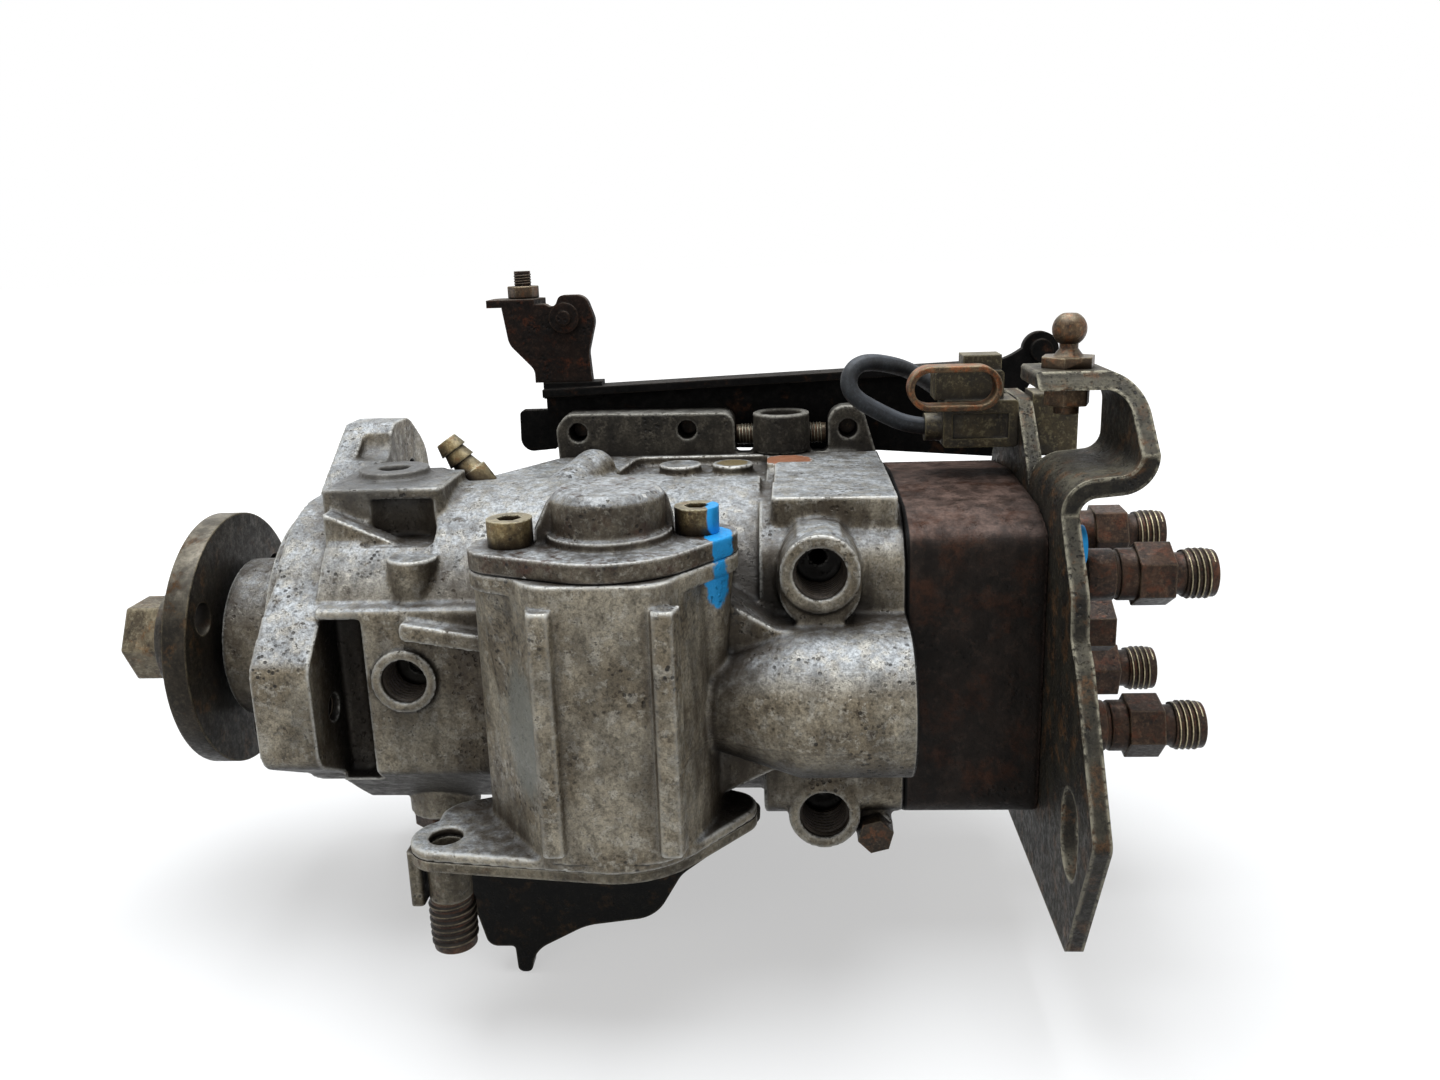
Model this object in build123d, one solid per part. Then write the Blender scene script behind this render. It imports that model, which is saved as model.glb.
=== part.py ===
from build123d import *
import os
from math import acos, atan2, degrees, pi, radians, sin, sqrt, tan

# Diesel injection pump of the rotary distributor kind, lying on its side.
# Millimetres. X runs along the drive shaft from the drive end to the outlets, Y from the
# timing device to the governor cover, Z up. The origin is where the shaft axis meets the
# mounting face of the flange.

# Fits
RUN = 0.05            # radial gap of a running or seated round fit
GAP = 0.3             # gap between faces that pass close by

# Screws
M5_R, M5_HEAD_R = 2.5, 4.25
M6_R, M6_HEAD_R = 3.0, 5.0

# Drive end
FLANGE_T = 14.5
FLANGE_CORE_R = 40.0
PILOT_R, PILOT_L = 35.6, 4.0
COLLAR_R, COLLAR_L = 22.0, 21.5
SEAL_R, SEAL_L = 15.5, 8.0
BUSH_R = 12.0
TOP_HOLE = (41.0, 38.0)               # Y, Z
LOW_LUG = (27.0, -43.0, 12.0)         # centre Y, Z and radius
LUG_HOLE_R, NEAR_HOLE_R = 4.3, 3.4
NEAR_HOLE = (-38.65, -5.8)            # clear of the pilot
SHAFT_R, SHAFT_END_R = 8.5, 6.0
NUT_AF, NUT_L = 21.0, 12.5
HUB_BOSS_R, HUB_BOSS_L = 16.8, 12.8
DISC_R, DISC_T = 35.0, 6.4
DISC_X1 = -24.3                       # face of the disc next to the collar
DISC_HOLE_R = 4.25
DISC_HOLE = (-23.1, 12.8)             # Y, Z of the first of three
HUB_X0 = DISC_X1 - DISC_T - HUB_BOSS_L
NUT_X0 = HUB_X0 - NUT_L

# Housing
BODY_R, BODY_X1 = 43.0, 122.0
HEAD_X0, HEAD_X1 = 157.0, 190.0
CHAMBER_R, CHAMBER_X0 = 36.0, 54.0
BOX_Y1, BOX_Z = 46.0, 41.0            # governor side of the housing
WALL_X0 = 25.0                        # near end of the wall that carries the inlet
PORT_R = 6.2                          # core of an M14 fine thread
UPPER_PORT, UPPER_PORT_Y1 = (136.2, 30.2), -34.5
LOWER_PORT, LOWER_PORT_Y1 = (137.1, -35.6), -24.0
INLET, INLET_R = (34.8, 2.9), 5.6     # X, Z and the core of an M12 thread
INLET_Y0, INLET_Y1 = -44.6, -30.6     # face of the inlet boss and end of its thread
TOP_BOSS, TOP_BOSS_BORE_R = (23.5, -2.0), 4.1
VALVE, VALVE_R = (33.0, -15.0), 6.0   # regulating valve under the housing
NECK = ((66.5, 0.0, 37.0), (75.2, 27.5, 41.9), 6.4)   # ends and radius of the sloping neck
POCKET_Z = 38.0                       # floor of the recess beside the governor
POCKET_BOSSES = [(97.9, 31.6, 6.2), (113.4, 31.2, 6.0)]
DRAIN = (149.8, -41.0)                # X, Z of the small screw beside the lower port
UNION_R = 4.6                         # foot of the barbed union
UNION_SEAT = Pos(42.3, 9, 42.8) * Rot(0, -35, 0)

# Feed pump
PUMP_BORE_R, PUMP_X0, PUMP_X1 = 29.0, 27.0, 54.0
RING_X1, PUMP_PLATE_T = 43.0, 4.0
PUMP_OFFSET = 1.6                     # the ring's bore is off the shaft's axis
ROTOR_R, RING_BORE_R = 22.0, 24.0
VANE_T = 3.1

# Timing device across the housing
TIMING = (89.5, -58.0)                # X, Y of its axis
TIMING_BORE_R = 14.0
PISTON_BORE_R = 10.5
PIN_R = 3.0
TIMING_Z0, TIMING_Z1 = -26.0, 37.5    # joint faces of its two covers
TIMING_LIP = 2.4                      # joint flange below the timing housing
TOP_SCREWS = [(68.4, -62.6), (108.7, -53.7)]
LOW_TAB, LOW_TAB_R = (49.0, -67.0), 3.9
COVER_T, LOW_COVER_T = 4.5, 2.5
LOW_COVER_Z0 = TIMING_Z0 - TIMING_LIP - LOW_COVER_T
DOME_R, DOME_Z = 12.6, 53.5
TOP_ENDS = [(*TOP_SCREWS[0], 9.5), (*TOP_SCREWS[1], 9.0)]
LOW_ENDS = [(*LOW_TAB, 8.0), (53.0, -57.0, 8.0), (113.0, -52.0, 7.5)]
NOSE_R = 22.5                         # joint flanges round the timing bore

# Governor
GOV_Y = 40.0                          # distance of the governor shaft from the drive shaft
GOV_SHAFT_R = 4.0
TEETH_DRIVE, TEETH_GOV = 36, 24
GEAR_MODULE = 2 * GOV_Y / (TEETH_DRIVE + TEETH_GOV)
GEAR_X0, GEAR_X1 = 67.0, 72.0
LEVER_PIVOT = (120.0, 27.0)           # X, Y of the governor lever's pin
SPRING_Y = 58.5                       # axis of the governor spring

# Governor cover, its lever and screws
COVER_Y1 = 74.0                       # outer face
COVER_FLANGE_Y = 52.0
COVER = (58.0, 153.0, -37.0, 37.0)    # X and Z range
COVER_SCREWS = [(70, -36.6), (70, 36.6), (144, -36.6), (144, 36.6)]
RAIL_HOLES = [(65.4, 48.4), (99.0, 48.6)]
EAR_HOLE = (148.1, 47.8)
LUG_Y = 58.0                          # faces of the rail and lugs that carry the bar
BOSS, BOSS_R = (127.8, 49.2), 8.6     # X, Z and radius of the boss between the lugs
BOSS_SCREW = (52.0, 46.0)             # Y, Z of the screw through the boss
THROTTLE, THROTTLE_R = (86.0, 0.0), 5.0
STOP_SCREWS = (COVER_Y1 + 6.5, 22.0)  # Y, Z of the lever's two stops
STOP_LUGS = (66.0, 112.0)
LOAD_SCREW = (COVER_Y1 + 3.5, 12.5)   # Y, Z of the full-load screw

# Cam, plunger and its barrel
ROLLER_X, ROLLER_R = 93.0, 5.0
CAM_R, CAM_T, CAM_LIFT = 31.5, 5.0, 2.2
CAM_X0 = ROLLER_X + ROLLER_R + CAM_LIFT + 0.1   # the lobes just pass the rollers
CAM_X1 = CAM_X0 + CAM_T
FOOT_T = 3.5
TONGUE_T = 6.8
PLUNGER_R, BARREL_R = 6.0, 11.0

# Hydraulic head, outlets and solenoid
OUTLET = 20.5                         # half the square that the outlets stand on
OUTLETS = [(y, z) for y in (-OUTLET, OUTLET) for z in (-OUTLET, OUTLET)]
OUTLET_R = 6.0                        # M12 thread
OUTLET_X1 = HEAD_X1 + 45.0
HOLDER_X0 = HEAD_X1 - 13.0            # foot of an outlet union, inside the head
HOLDER_BORE_R, VALVE_SEAT_X = 3.4, HEAD_X1 - 4.0
PLUG_R = 7.0
HEAD_SCREWS = [(y, z) for y in (-31, 31) for z in (-31, 31)]
SOLENOID, SOLENOID_R = (HEAD_X1 - 16.0, 0.0), 6.0   # X, Z and radius of its thread

# Rear bracket and ball stud
PLATE_T = 4.0
BEND_Z = 43.0                         # where the plate starts to bend
ARM_X0, ARM_X1 = HEAD_X1 - 3.0, HEAD_X1 + 21.0      # free end and bend of the strip
ARM_Z1 = 73.2
ARM_Y = (-50.0, -15.0)                # strip at its root; it narrows towards the ball
ELBOW_Z = 50.6                        # height of the bend that leads out of the plate
BALL = (HEAD_X1 + 6.2, -24.0)         # X, Y of the ball stud
BALL_R, BALL_Z = 4.05, 82.1

# Cable bar and clamp
BAR_Y = (LUG_Y, LUG_Y + 3.5)
BAR_SCREW_TIP_Y = 54.5
CLAMP_BOLT = (47.6, BAR_Y[0] + 6.5)
CLAMP_PIN = (61.8, 82.7)

# Connector and lead
CONN_Y = (1.0, 13.5)
CONN_X0, CONN_X1 = HEAD_X1 - 19.5, HEAD_X1
LEAD_R, LEAD_YZ = 2.3, (6.0, 54.6)
LEAD_ROUTE = [(-19.0, 6.0, 54.6), (-27.0, 6.0, 54.6), (-36.1, 6.0, 58.8), (-43.7, 6.0, 63.6),
              (-44.1, 7.5, 68.9), (-40.0, 9.5, 72.3), (-29.5, 14.5, 70.0), (-22.5, 24.0, 65.5),
              (-15.7, 31.5, 60.1), (-3.8, 38.5, 58.0), (6.3, 45.5, 51.3), (11.5, 50.0, 40.3),
              (12.0, 51.4, 27.4), (6.4, 52.0, 16.8), (0.0, 52.0, 12.0)]   # X from the head


def lay(axis, start, end):
    """Plane whose normal runs along a row axis, and the length from start to end."""
    planes = {"x": Plane((start, 0, 0), x_dir=(0, 1, 0), z_dir=(1, 0, 0)),
              "y": Plane((0, end, 0), x_dir=(1, 0, 0), z_dir=(0, -1, 0)),
              "z": Plane((0, 0, start), x_dir=(1, 0, 0), z_dir=(0, 0, 1))}
    return planes[axis], end - start


def stand(axis, solid, start, end):
    """A solid drawn upright on XY, laid along the row axis between start and end."""
    plane, _ = lay(axis, start, end)
    return plane * solid


def rod(axis, at, r, start, end):
    """Round bar along an axis; at holds the other two coordinates in X, Y, Z order."""
    body = Cylinder(r, end - start, align=(Align.CENTER, Align.CENTER, Align.MIN))
    return stand(axis, Pos(at[0], at[1], 0) * body, start, end)


def tube(axis, at, r_out, r_in, start, end):
    return rod(axis, at, r_out, start, end) - rod(axis, at, r_in, start - 1, end + 1)


def cone(axis, at, r_start, r_end, start, end):
    """Tapered round bar; a bar along Y is drawn from its far end."""
    low, high = (r_end, r_start) if axis == "y" else (r_start, r_end)
    body = Cone(low, high, end - start, align=(Align.CENTER, Align.CENTER, Align.MIN))
    return stand(axis, Pos(at[0], at[1], 0) * body, start, end)


def block(x, y, z):
    """Box from three (low, high) pairs."""
    size = [b - a for a, b in (x, y, z)]
    return Pos(x[0], y[0], z[0]) * Box(*size, align=(Align.MIN, Align.MIN, Align.MIN))


def prism(axis, face, start, end):
    plane, length = lay(axis, start, end)
    return plane * Solid.extrude(face, Vector(0, 0, length))


def hexagon(axis, at, across_flats, start, end, turn=0.0):
    ring = [Vector(across_flats / sqrt(3), 0).rotate(Axis.Z, turn + 60 * i) for i in range(6)]
    wire = Wire.make_polygon([Vector(at[0], at[1]) + p for p in ring])
    return prism(axis, Face(wire), start, end)


def outline(corners):
    """Closed face through (u, v, radius) corners, each rounded by its own radius."""
    spots = []
    for i, (u, v, r) in enumerate(corners):
        point = Vector(u, v)
        before = (Vector(*corners[i - 1][:2]) - point).normalized()
        after = (Vector(*corners[(i + 1) % len(corners)][:2]) - point).normalized()
        half = acos(max(-1.0, min(1.0, before.dot(after)))) / 2
        if r:
            middle = (before + after).normalized() * (r / sin(half) - r)
            cut = r / tan(half)
            spots.append((point + before * cut, point + middle, point + after * cut))
        else:
            spots.append((point, None, point))
    edges = []
    for i, (first, middle, last) in enumerate(spots):
        if middle is not None:
            edges.append(Edge.make_three_point_arc(first, middle, last))
        following = spots[(i + 1) % len(spots)][0]
        if (following - last).length > 1e-4:
            edges.append(Edge.make_line(last, following))
    return Face(Wire(edges))


def slab(axis, corners, start, end):
    """Plate with a rounded outline, between two planes across an axis."""
    return prism(axis, outline(corners), start, end)


def link(axis, first, second, start, end):
    """Plate round two circles, each (u, v, radius), joined by their outer tangents."""
    p, q = Vector(first[0], first[1]), Vector(second[0], second[1])
    along = q - p
    open_angle = degrees(acos((first[2] - second[2]) / along.length))
    along = along.normalized()
    left, right = along.rotate(Axis.Z, open_angle), along.rotate(Axis.Z, -open_angle)
    a, b = p + left * first[2], q + left * second[2]
    c, d = q + right * second[2], p + right * first[2]
    wire = Wire([Edge.make_line(a, b),
                 Edge.make_three_point_arc(b, q + along * second[2], c),
                 Edge.make_line(c, d),
                 Edge.make_three_point_arc(d, p - along * first[2], a)])
    return prism(axis, Face(wire), start, end)


def socket_screw(axis, at, r, head_r, seat, tip, sign=1):
    """Cap screw whose head sits on the seat; sign is the way the head faces."""
    shank = sorted((seat, tip))
    head = sorted((seat, seat + sign * 2 * r))
    key = sorted((seat + sign * 0.9 * r, seat + sign * 2.1 * r))
    screw = rod(axis, at, r, *shank) + rod(axis, at, head_r, *head)
    return screw - hexagon(axis, at, 1.65 * r, *key)


def gear(teeth, module, x0, x1, bore, turn=0.0):
    """Spur gear about the X axis with plain trapezoid teeth."""
    root, tip = module * (teeth / 2 - 1.25), module * (teeth / 2 + 0.92)
    disc = rod("x", (0, 0), root, x0, x1)
    foot, crest = 0.48 * pi * module / 2, 0.22 * pi * module / 2
    tooth = slab("x", [(root - 0.6, -foot, 0), (tip, -crest, 0), (tip, crest, 0),
                       (root - 0.6, foot, 0)], x0, x1)
    body = disc + [Rot(turn + 360 * i / teeth, 0, 0) * tooth for i in range(teeth)]
    return body - rod("x", (0, 0), bore, x0 - 1, x1 + 1)


# ---------------------------------------------------------------- housing

def flange():
    """Triangular flange: a lug on the near side, one on top and one below."""
    core = (0, 0, FLANGE_CORE_R)
    plate = slab("x", [(-12, 37.6, 0), (-41, 18.5, 9), (-51.8, 9, 6), (-51.8, -16.5, 7),
                       (-31, -27.5, 8), (-10, -38, 0), (20, 0, 0)], 0, FLANGE_T)
    plate += slab("x", [(3, 40, 4), (28.5, 55.6, 6), (42, 55.4, 12), (58.5, 43, 14), (57, 26, 10),
                        (36, 8, 0), (0, 0, 0)], 0, FLANGE_T)
    plate += link("x", core, LOW_LUG, 0, FLANGE_T)
    for at in (TOP_HOLE, LOW_LUG[:2]):
        plate -= rod("x", at, LUG_HOLE_R, -1, FLANGE_T + 1)
    return plate


def timing_section(grow=0.0):
    """Cross-section of the timing housing, wider where it joins the pump body."""
    return [(57 - grow, -30, 0), (57 - grow, -56, 9), (75.5, -80.5 - grow, 9),
            (103.5, -80.5 - grow, 9), (110 + grow, -62, 8), (116 + grow, -30, 0)]


def cover_plate(z0, z1, ends, nose):
    """Timing cover plate: an end round each screw and a nose round the bore."""
    middle = (TIMING[0], TIMING[1], nose)
    return sum((link("z", middle, end, z0, z1) for end in ends[1:]),
               link("z", middle, ends[0], z0, z1))


def housing():
    body = rod("x", (0, 0), BODY_R, FLANGE_T - 2, BODY_X1)
    body += flange()
    body += rod("x", (0, 0), PILOT_R, -PILOT_L, 0) + rod("x", (0, 0), COLLAR_R, -COLLAR_L, 0)
    # Block and boss above the flange, and a casting pad
    body += slab("z", [(10, -20, 0), (41, -20, 3), (41, 8, 3), (10, 8, 0)], 30, 46)
    body += rod("z", TOP_BOSS, 9.3, 40, 48)
    body -= rod("z", (30.5, -24.5), 9.5, 32.5, 43.2)
    body -= rod("x", (17.5, 53.5), 7.0, 6.5, FLANGE_T + 1)
    body += rod("z", (36, -32), 6.2, 20, 31.3)
    # Gusset behind the rim of the flange
    body += slab("y", [(12, 30, 0), (12, 41, 0), (30, 33, 0), (30, 20, 0)], -26, -20)
    # Wall that carries the fuel inlet, with a rib across it
    body += slab("x", [(-43, -22, 4), (-43, 21, 1.5), (-30, 21, 0), (-10, -38, 0), (-20, -40, 3)],
                 14, 62)
    body -= slab("z", [(WALL_X0 - 14, -60, 0), (WALL_X0, -60, 0), (WALL_X0, -38, 4),
                       (WALL_X0 - 4, -31.5, 2), (WALL_X0 - 14, -31.5, 0)], -26, 18.5)
    body += slab("x", [(-41, 18.5, 9), (-51.8, 9, 6), (-51.8, -16.5, 7), (-31, -27.5, 8),
                       (-25, -27.5, 0), (-25, 18.5, 0)], 0, FLANGE_T)
    body += rod("y", INLET, INLET_R + 2.5, INLET_Y0, -41)
    body -= tube("y", INLET, INLET_R + 3.5, INLET_R + 2.5, INLET_Y0 + 0.6, -41.8)
    body += slab("y", [(36, 19, 1), (60, 14.6, 0), (60, 10.6, 0), (36, 14.6, 1)], -47.6, -40)
    # Governor side
    body += slab("z", [(38, -4, 0), (40, 12, 4), (60, BOX_Y1, 5), (HEAD_X0, BOX_Y1, 0),
                       (HEAD_X0, -4, 0)], -BOX_Z, BOX_Z)
    # Rear end round the head joint, with its pad on top
    body += slab("x", [(-40, -34, 7), (-40, 33, 9), (-25, 40.5, 6), (BOX_Y1, BOX_Z, 3),
                       (BOX_Y1, -BOX_Z, 3), (-26, -42, 8)], BODY_X1, HEAD_X0)
    body += slab("z", [(125, -32, 2), (HEAD_X0 - 1.5, -33, 0), (HEAD_X0 - 1.5, 13.5, 0),
                       (126, 13.5, 2)], 36, 44.4)
    body += rod("z", (129.5, 26), 7.5, 38, 42.6)
    # Timing housing: body, ribs, joint flanges and screw bosses
    body += slab("z", timing_section(), TIMING_Z0, TIMING_Z1)
    for x in (77.3, 103.0):
        body += slab("z", [(x - 3.4, -78, 0), (x - 2.2, -83.2, 1.2), (x + 2.2, -83.2, 1.2),
                           (x + 3.4, -78, 0)], TIMING_Z0 + 3, TIMING_Z1 - 5)
    body += cover_plate(TIMING_Z1 - 4, TIMING_Z1, TOP_ENDS, NOSE_R)
    body += cover_plate(TIMING_Z0 - TIMING_LIP, TIMING_Z0, LOW_ENDS, NOSE_R)
    for at in TOP_SCREWS:
        body += cone("z", at, 5.5, 8.2, 8, TIMING_Z1)
    # Barrel beside the timing housing, webs above and below it
    body += cone("x", (-52, 0), 8.5, 17.5, 104, 131) + rod("x", (-52, 0), 17.5, 131, HEAD_X0)
    body += block((118, HEAD_X0), (-52, -30), (-17.5, 17.5))
    body += slab("y", [(98, 30, 0), (107, 29, 2), (132, 14, 0), (132, -14, 0), (112, -24, 2),
                       (98, -26, 0)], -52, -30)
    # Port bosses
    for at, r, y0, y1 in ((UPPER_PORT, 9.4, -50, -22), (LOWER_PORT, 9.0, -40.5, -18)):
        body += rod("y", at, r, y0, y1)
    body += hexagon("y", UPPER_PORT, 17.4, -46, -24, 0) + rod("y", DRAIN, 4.8, -37, -20)
    body += cone("y", (UPPER_PORT[0], UPPER_PORT[1] - 4), 9.4, 11.5, -49, -30)
    body += rod("z", VALVE, VALVE_R + 3.5, -45, -30)
    # Neck that slopes down behind the timing cover
    low, high, neck_r = Vector(*NECK[0]), Vector(*NECK[1]), NECK[2]
    neck = Cylinder(neck_r, (high - low).length, align=(Align.CENTER, Align.CENTER, Align.MIN))
    neck = fillet(neck.edges().sort_by(Axis.Z)[-1], 0.8 * neck_r)
    body += Plane(low, z_dir=high - low) * neck
    # Bores from the drive end to the head
    body -= rod("x", (0, 0), BUSH_R, -COLLAR_L - 1, PUMP_X0 + 1)
    body -= rod("x", (0, 0), SEAL_R, -COLLAR_L - 1, -COLLAR_L + SEAL_L)
    body -= rod("x", (0, 0), PUMP_BORE_R, PUMP_X0, PUMP_X1 + 1)
    body -= rod("x", (0, 0), CHAMBER_R, CHAMBER_X0, HEAD_X0 + 1)
    body -= slab("z", [(58, 4, 0), (66, BOX_Y1 + 1, 0), (150, BOX_Y1 + 1, 0), (150, 4, 4)],
                 -33, 33)
    # Recess beside the governor, with a round pocket and bosses that stand in it
    recess = slab("z", [(80, 17, 3), (95, 17, 2), (98.5, 3, 3), (123.5, 3, 3), (123.5, 43, 2),
                        (84, 43, 3)], POCKET_Z, 50)
    for x, y, r in POCKET_BOSSES:
        recess -= rod("z", (x, y), r, POCKET_Z - 1, BOX_Z)
    body -= recess
    body -= rod("z", (106, 19), 5.0, POCKET_Z - 1.5, 50)
    # Timing bore and the slot for the pin
    body -= rod("z", TIMING, TIMING_BORE_R, TIMING_Z0 - 5, TIMING_Z1 + 1)
    body -= slab("y", [(84, -11, 5), (95, -11, 5), (95, 11, 5), (84, 11, 5)], -50, -30)
    # Threaded and plain holes
    body -= rod("y", INLET, INLET_R, INLET_Y0 - 1, INLET_Y1) + rod("y", INLET, 3, -40, -26)
    for at, y1 in ((UPPER_PORT, UPPER_PORT_Y1), (LOWER_PORT, LOWER_PORT_Y1)):
        body -= rod("y", at, PORT_R, -55, y1) + rod("y", at, 2, -40, -16)
    body -= rod("x", NEAR_HOLE, NEAR_HOLE_R, -1, FLANGE_T + 1)
    body -= rod("z", TOP_BOSS, TOP_BOSS_BORE_R, 34, 50)
    body -= rod("z", VALVE, VALVE_R + RUN, -50, -29)
    for at in TOP_SCREWS:
        body -= rod("z", at, M6_R + RUN, 14, 50)
    body -= rod("z", LOW_TAB, LOW_TAB_R, -40, 0)
    body -= rod("y", DRAIN, M6_R + RUN, -38, -27)
    body -= rod("z", LEVER_PIVOT, M5_R + RUN, -36, 36)
    for at in HEAD_SCREWS:
        body -= rod("x", at, M6_R + RUN, 148, 160)
    for at in COVER_SCREWS:
        body -= rod("y", at, M5_R + RUN, 31, 48)
    body -= rod("x", (GOV_Y, 0), GOV_SHAFT_R + RUN, 48, 70)
    return body - UNION_SEAT * rod("z", (0, 0), UNION_R + RUN, -4.1, 14)


# ---------------------------------------------------------------- drive end

def drive_shaft():
    shaft = rod("x", (0, 0), SHAFT_R, DISC_X1 + 2, 88)
    shaft += cone("x", (0, 0), SHAFT_END_R + 0.5, SHAFT_R, HUB_X0, DISC_X1 + 2)
    shaft += rod("x", (0, 0), SHAFT_END_R, NUT_X0 - 0.8, HUB_X0 + 4)
    shaft += rod("x", (0, 0), 13, 81, 88)
    shaft -= block((84, 89), (-14, 14), (-TONGUE_T / 2 - 0.1, TONGUE_T / 2 + 0.1))
    return shaft - block((-40, -32), (-8.6, -5), (-1.5, 1.5))


def drive_hub():
    x0, x1 = HUB_X0, DISC_X1
    hub = rod("x", (0, 0), DISC_R, x1 - DISC_T, x1)
    hub += cone("x", (0, 0), HUB_BOSS_R - 1.6, HUB_BOSS_R, x0, x0 + 3)
    hub += rod("x", (0, 0), HUB_BOSS_R, x0 + 3, x1 - DISC_T)
    hub -= cone("x", (0, 0), SHAFT_END_R + 0.5 + RUN, SHAFT_R + RUN, x0, x1 + 2)
    hub -= rod("x", (0, 0), SHAFT_END_R + 0.6, x0 - 1, x0 + 1)
    for i in range(3):
        turn = Rot(120 * i, 0, 0)
        hub -= turn * rod("x", DISC_HOLE, DISC_HOLE_R, x1 - DISC_T - 1, x1 + 1)
    return hub - block((-40.2, -31.8), (-10.4, -5), (-1.55, 1.55))


def shaft_nut():
    nut = hexagon("x", (0, 0), NUT_AF, NUT_X0 + 1, NUT_X0 + NUT_L, 0)
    nut += cone("x", (0, 0), NUT_AF / 2 - 3, NUT_AF / 2 - 0.3, NUT_X0, NUT_X0 + 1.2)
    return nut - rod("x", (0, 0), SHAFT_END_R + RUN, NUT_X0 - 1, NUT_X0 + NUT_L + 1)


def shaft_seal():
    return tube("x", (0, 0), SEAL_R, SHAFT_R + RUN, -COLLAR_L + 0.6, -COLLAR_L + SEAL_L - 0.2)


def shaft_bush():
    return tube("x", (0, 0), BUSH_R, SHAFT_R + RUN, -COLLAR_L + SEAL_L + 0.4, PUMP_X0)


# ---------------------------------------------------------------- feed pump

def pump_ring():
    ring = rod("x", (0, 0), PUMP_BORE_R - RUN, PUMP_X0, RING_X1)
    ring -= rod("x", (PUMP_OFFSET, 0), RING_BORE_R, PUMP_X0 - 1, RING_X1 + 1)
    for side in (-1, 1):
        port = slab("x", [(-12, side * 21, 0), (12, side * 21, 0), (8, side * 26, 2),
                          (-8, side * 26, 2)], PUMP_X0 + 2, RING_X1 - 2)
        ring -= port
    return ring


def pump_rotor():
    rotor = tube("x", (0, 0), ROTOR_R, SHAFT_R + RUN, PUMP_X0 + 0.2, RING_X1 - 0.2)
    slot = VANE_T / 2 + RUN
    for i in range(4):
        rotor -= Rot(45 + 90 * i, 0, 0) * block((PUMP_X0, RING_X1 + 1), (13, 24), (-slot, slot))
    return rotor


def pump_vanes():
    tip, half = ROTOR_R + 0.2, VANE_T / 2
    vane = slab("x", [(13.3, -half, 0), (tip, -half, 1.5), (tip, half, 1.5), (13.3, half, 0)],
                PUMP_X0 + 0.3, RING_X1 - 0.3)
    return [Rot(45 + 90 * i, 0, 0) * vane for i in range(4)]


def pump_plate():
    return tube("x", (0, 0), PUMP_BORE_R - RUN, SHAFT_R + 1, RING_X1, RING_X1 + PUMP_PLATE_T)


# ---------------------------------------------------------------- governor

def governor_drive_gear():
    return gear(TEETH_DRIVE, GEAR_MODULE, GEAR_X0, GEAR_X1, SHAFT_R + RUN, 360 / TEETH_DRIVE / 2)


def governor_shaft():
    return rod("x", (GOV_Y, 0), GOV_SHAFT_R, 48, 106)


def governor_cage():
    x0 = GEAR_X1 + GAP
    cage = Pos(0, GOV_Y, 0) * gear(TEETH_GOV, GEAR_MODULE, GEAR_X0 + 0.5, x0, GOV_SHAFT_R + RUN)
    wall = tube("x", (GOV_Y, 0), 16.6, 15.2, x0, 83) + tube("x", (GOV_Y, 0), 16.6, 7.2, x0, 73)
    for i in range(4):
        window = block((73.4, 85), (4, 20), (-5.2, 5.2))
        wall -= Pos(0, GOV_Y, 0) * (Rot(45 + 90 * i, 0, 0) * window)
    return cage + wall


def flyweight():
    """Bell-crank weight that rocks in a window of the cage; drawn on the +Y side."""
    return slab("z", [(73.6, 9, 1.5), (73.6, 15, 2), (82.4, 15, 2), (82.4, 10.2, 1),
                      (78.4, 10.2, 1), (76.6, 5.8, 0.8), (74.6, 5.8, 0.8)], -4.9, 4.9)


def flyweights():
    return [Pos(0, GOV_Y, 0) * (Rot(45 + 90 * i, 0, 0) * flyweight()) for i in range(4)]


def governor_sleeve():
    bore = GOV_SHAFT_R + RUN
    sleeve = tube("x", (GOV_Y, 0), 5.4, bore, 77, 108) + rod("x", (GOV_Y, 0), 5.4, 107, 111)
    return sleeve + tube("x", (GOV_Y, 0), 6.9, bore, 77.5, 79.5)


def governor_lever():
    """Lever from the control collar past its pivot and the sleeve to the spring."""
    plate = slab("z", [(118, 13.2, 2), (117, 26, 3), (112.2, 38, 3), (111.4, 44, 3),
                       (108, 60, 2), (112, 62, 2), (116, 44, 3), (123, 28, 3), (122, 13.2, 2)],
                 -6, 6)
    plate += rod("z", LEVER_PIVOT, M5_R, -35.5, 35.5)
    plate += rod("y", (LEVER_PIVOT[0], 0), 2.0, 7.5, 15)
    plate -= rod("y", (110.5, 0), 1.0, 50, 70)
    return plate


def governor_spring():
    return tube("x", (SPRING_Y, 0), 4.5, 3.4, 91.2, 106.5) + rod("x", (SPRING_Y, 0), 4.5, 91.2, 92.5)


def throttle_shaft():
    shaft = rod("y", THROTTLE, THROTTLE_R, 63, COVER_Y1 + 16)
    shaft += rod("y", THROTTLE, THROTTLE_R + 2.5, 66.5, 69)
    shaft += rod("y", (THROTTLE[0] + 3.4, THROTTLE[1]), 1.5, 54.6, 64)
    return shaft


# ---------------------------------------------------------------- cam, plunger, head

def roller_ring():
    ring = tube("x", (0, 0), CHAMBER_R - RUN, 19.5, 84, 95.6) - rod("x", (GOV_Y, 0), 9, 83, 97)
    seat = rod("y", (ROLLER_X, 0), ROLLER_R + GAP, 20.3, 30.3)
    seat += block((ROLLER_X, 98), (20.3, 30.3), (-ROLLER_R - GAP, ROLLER_R + GAP))
    seat += rod("y", (ROLLER_X, 0), 1.8, 18, 31.8)
    for i in range(4):
        ring -= Rot(45 + 90 * i, 0, 0) * seat
    return ring - rod("y", (TIMING[0], 0), PIN_R + RUN, -37, -19)


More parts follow.
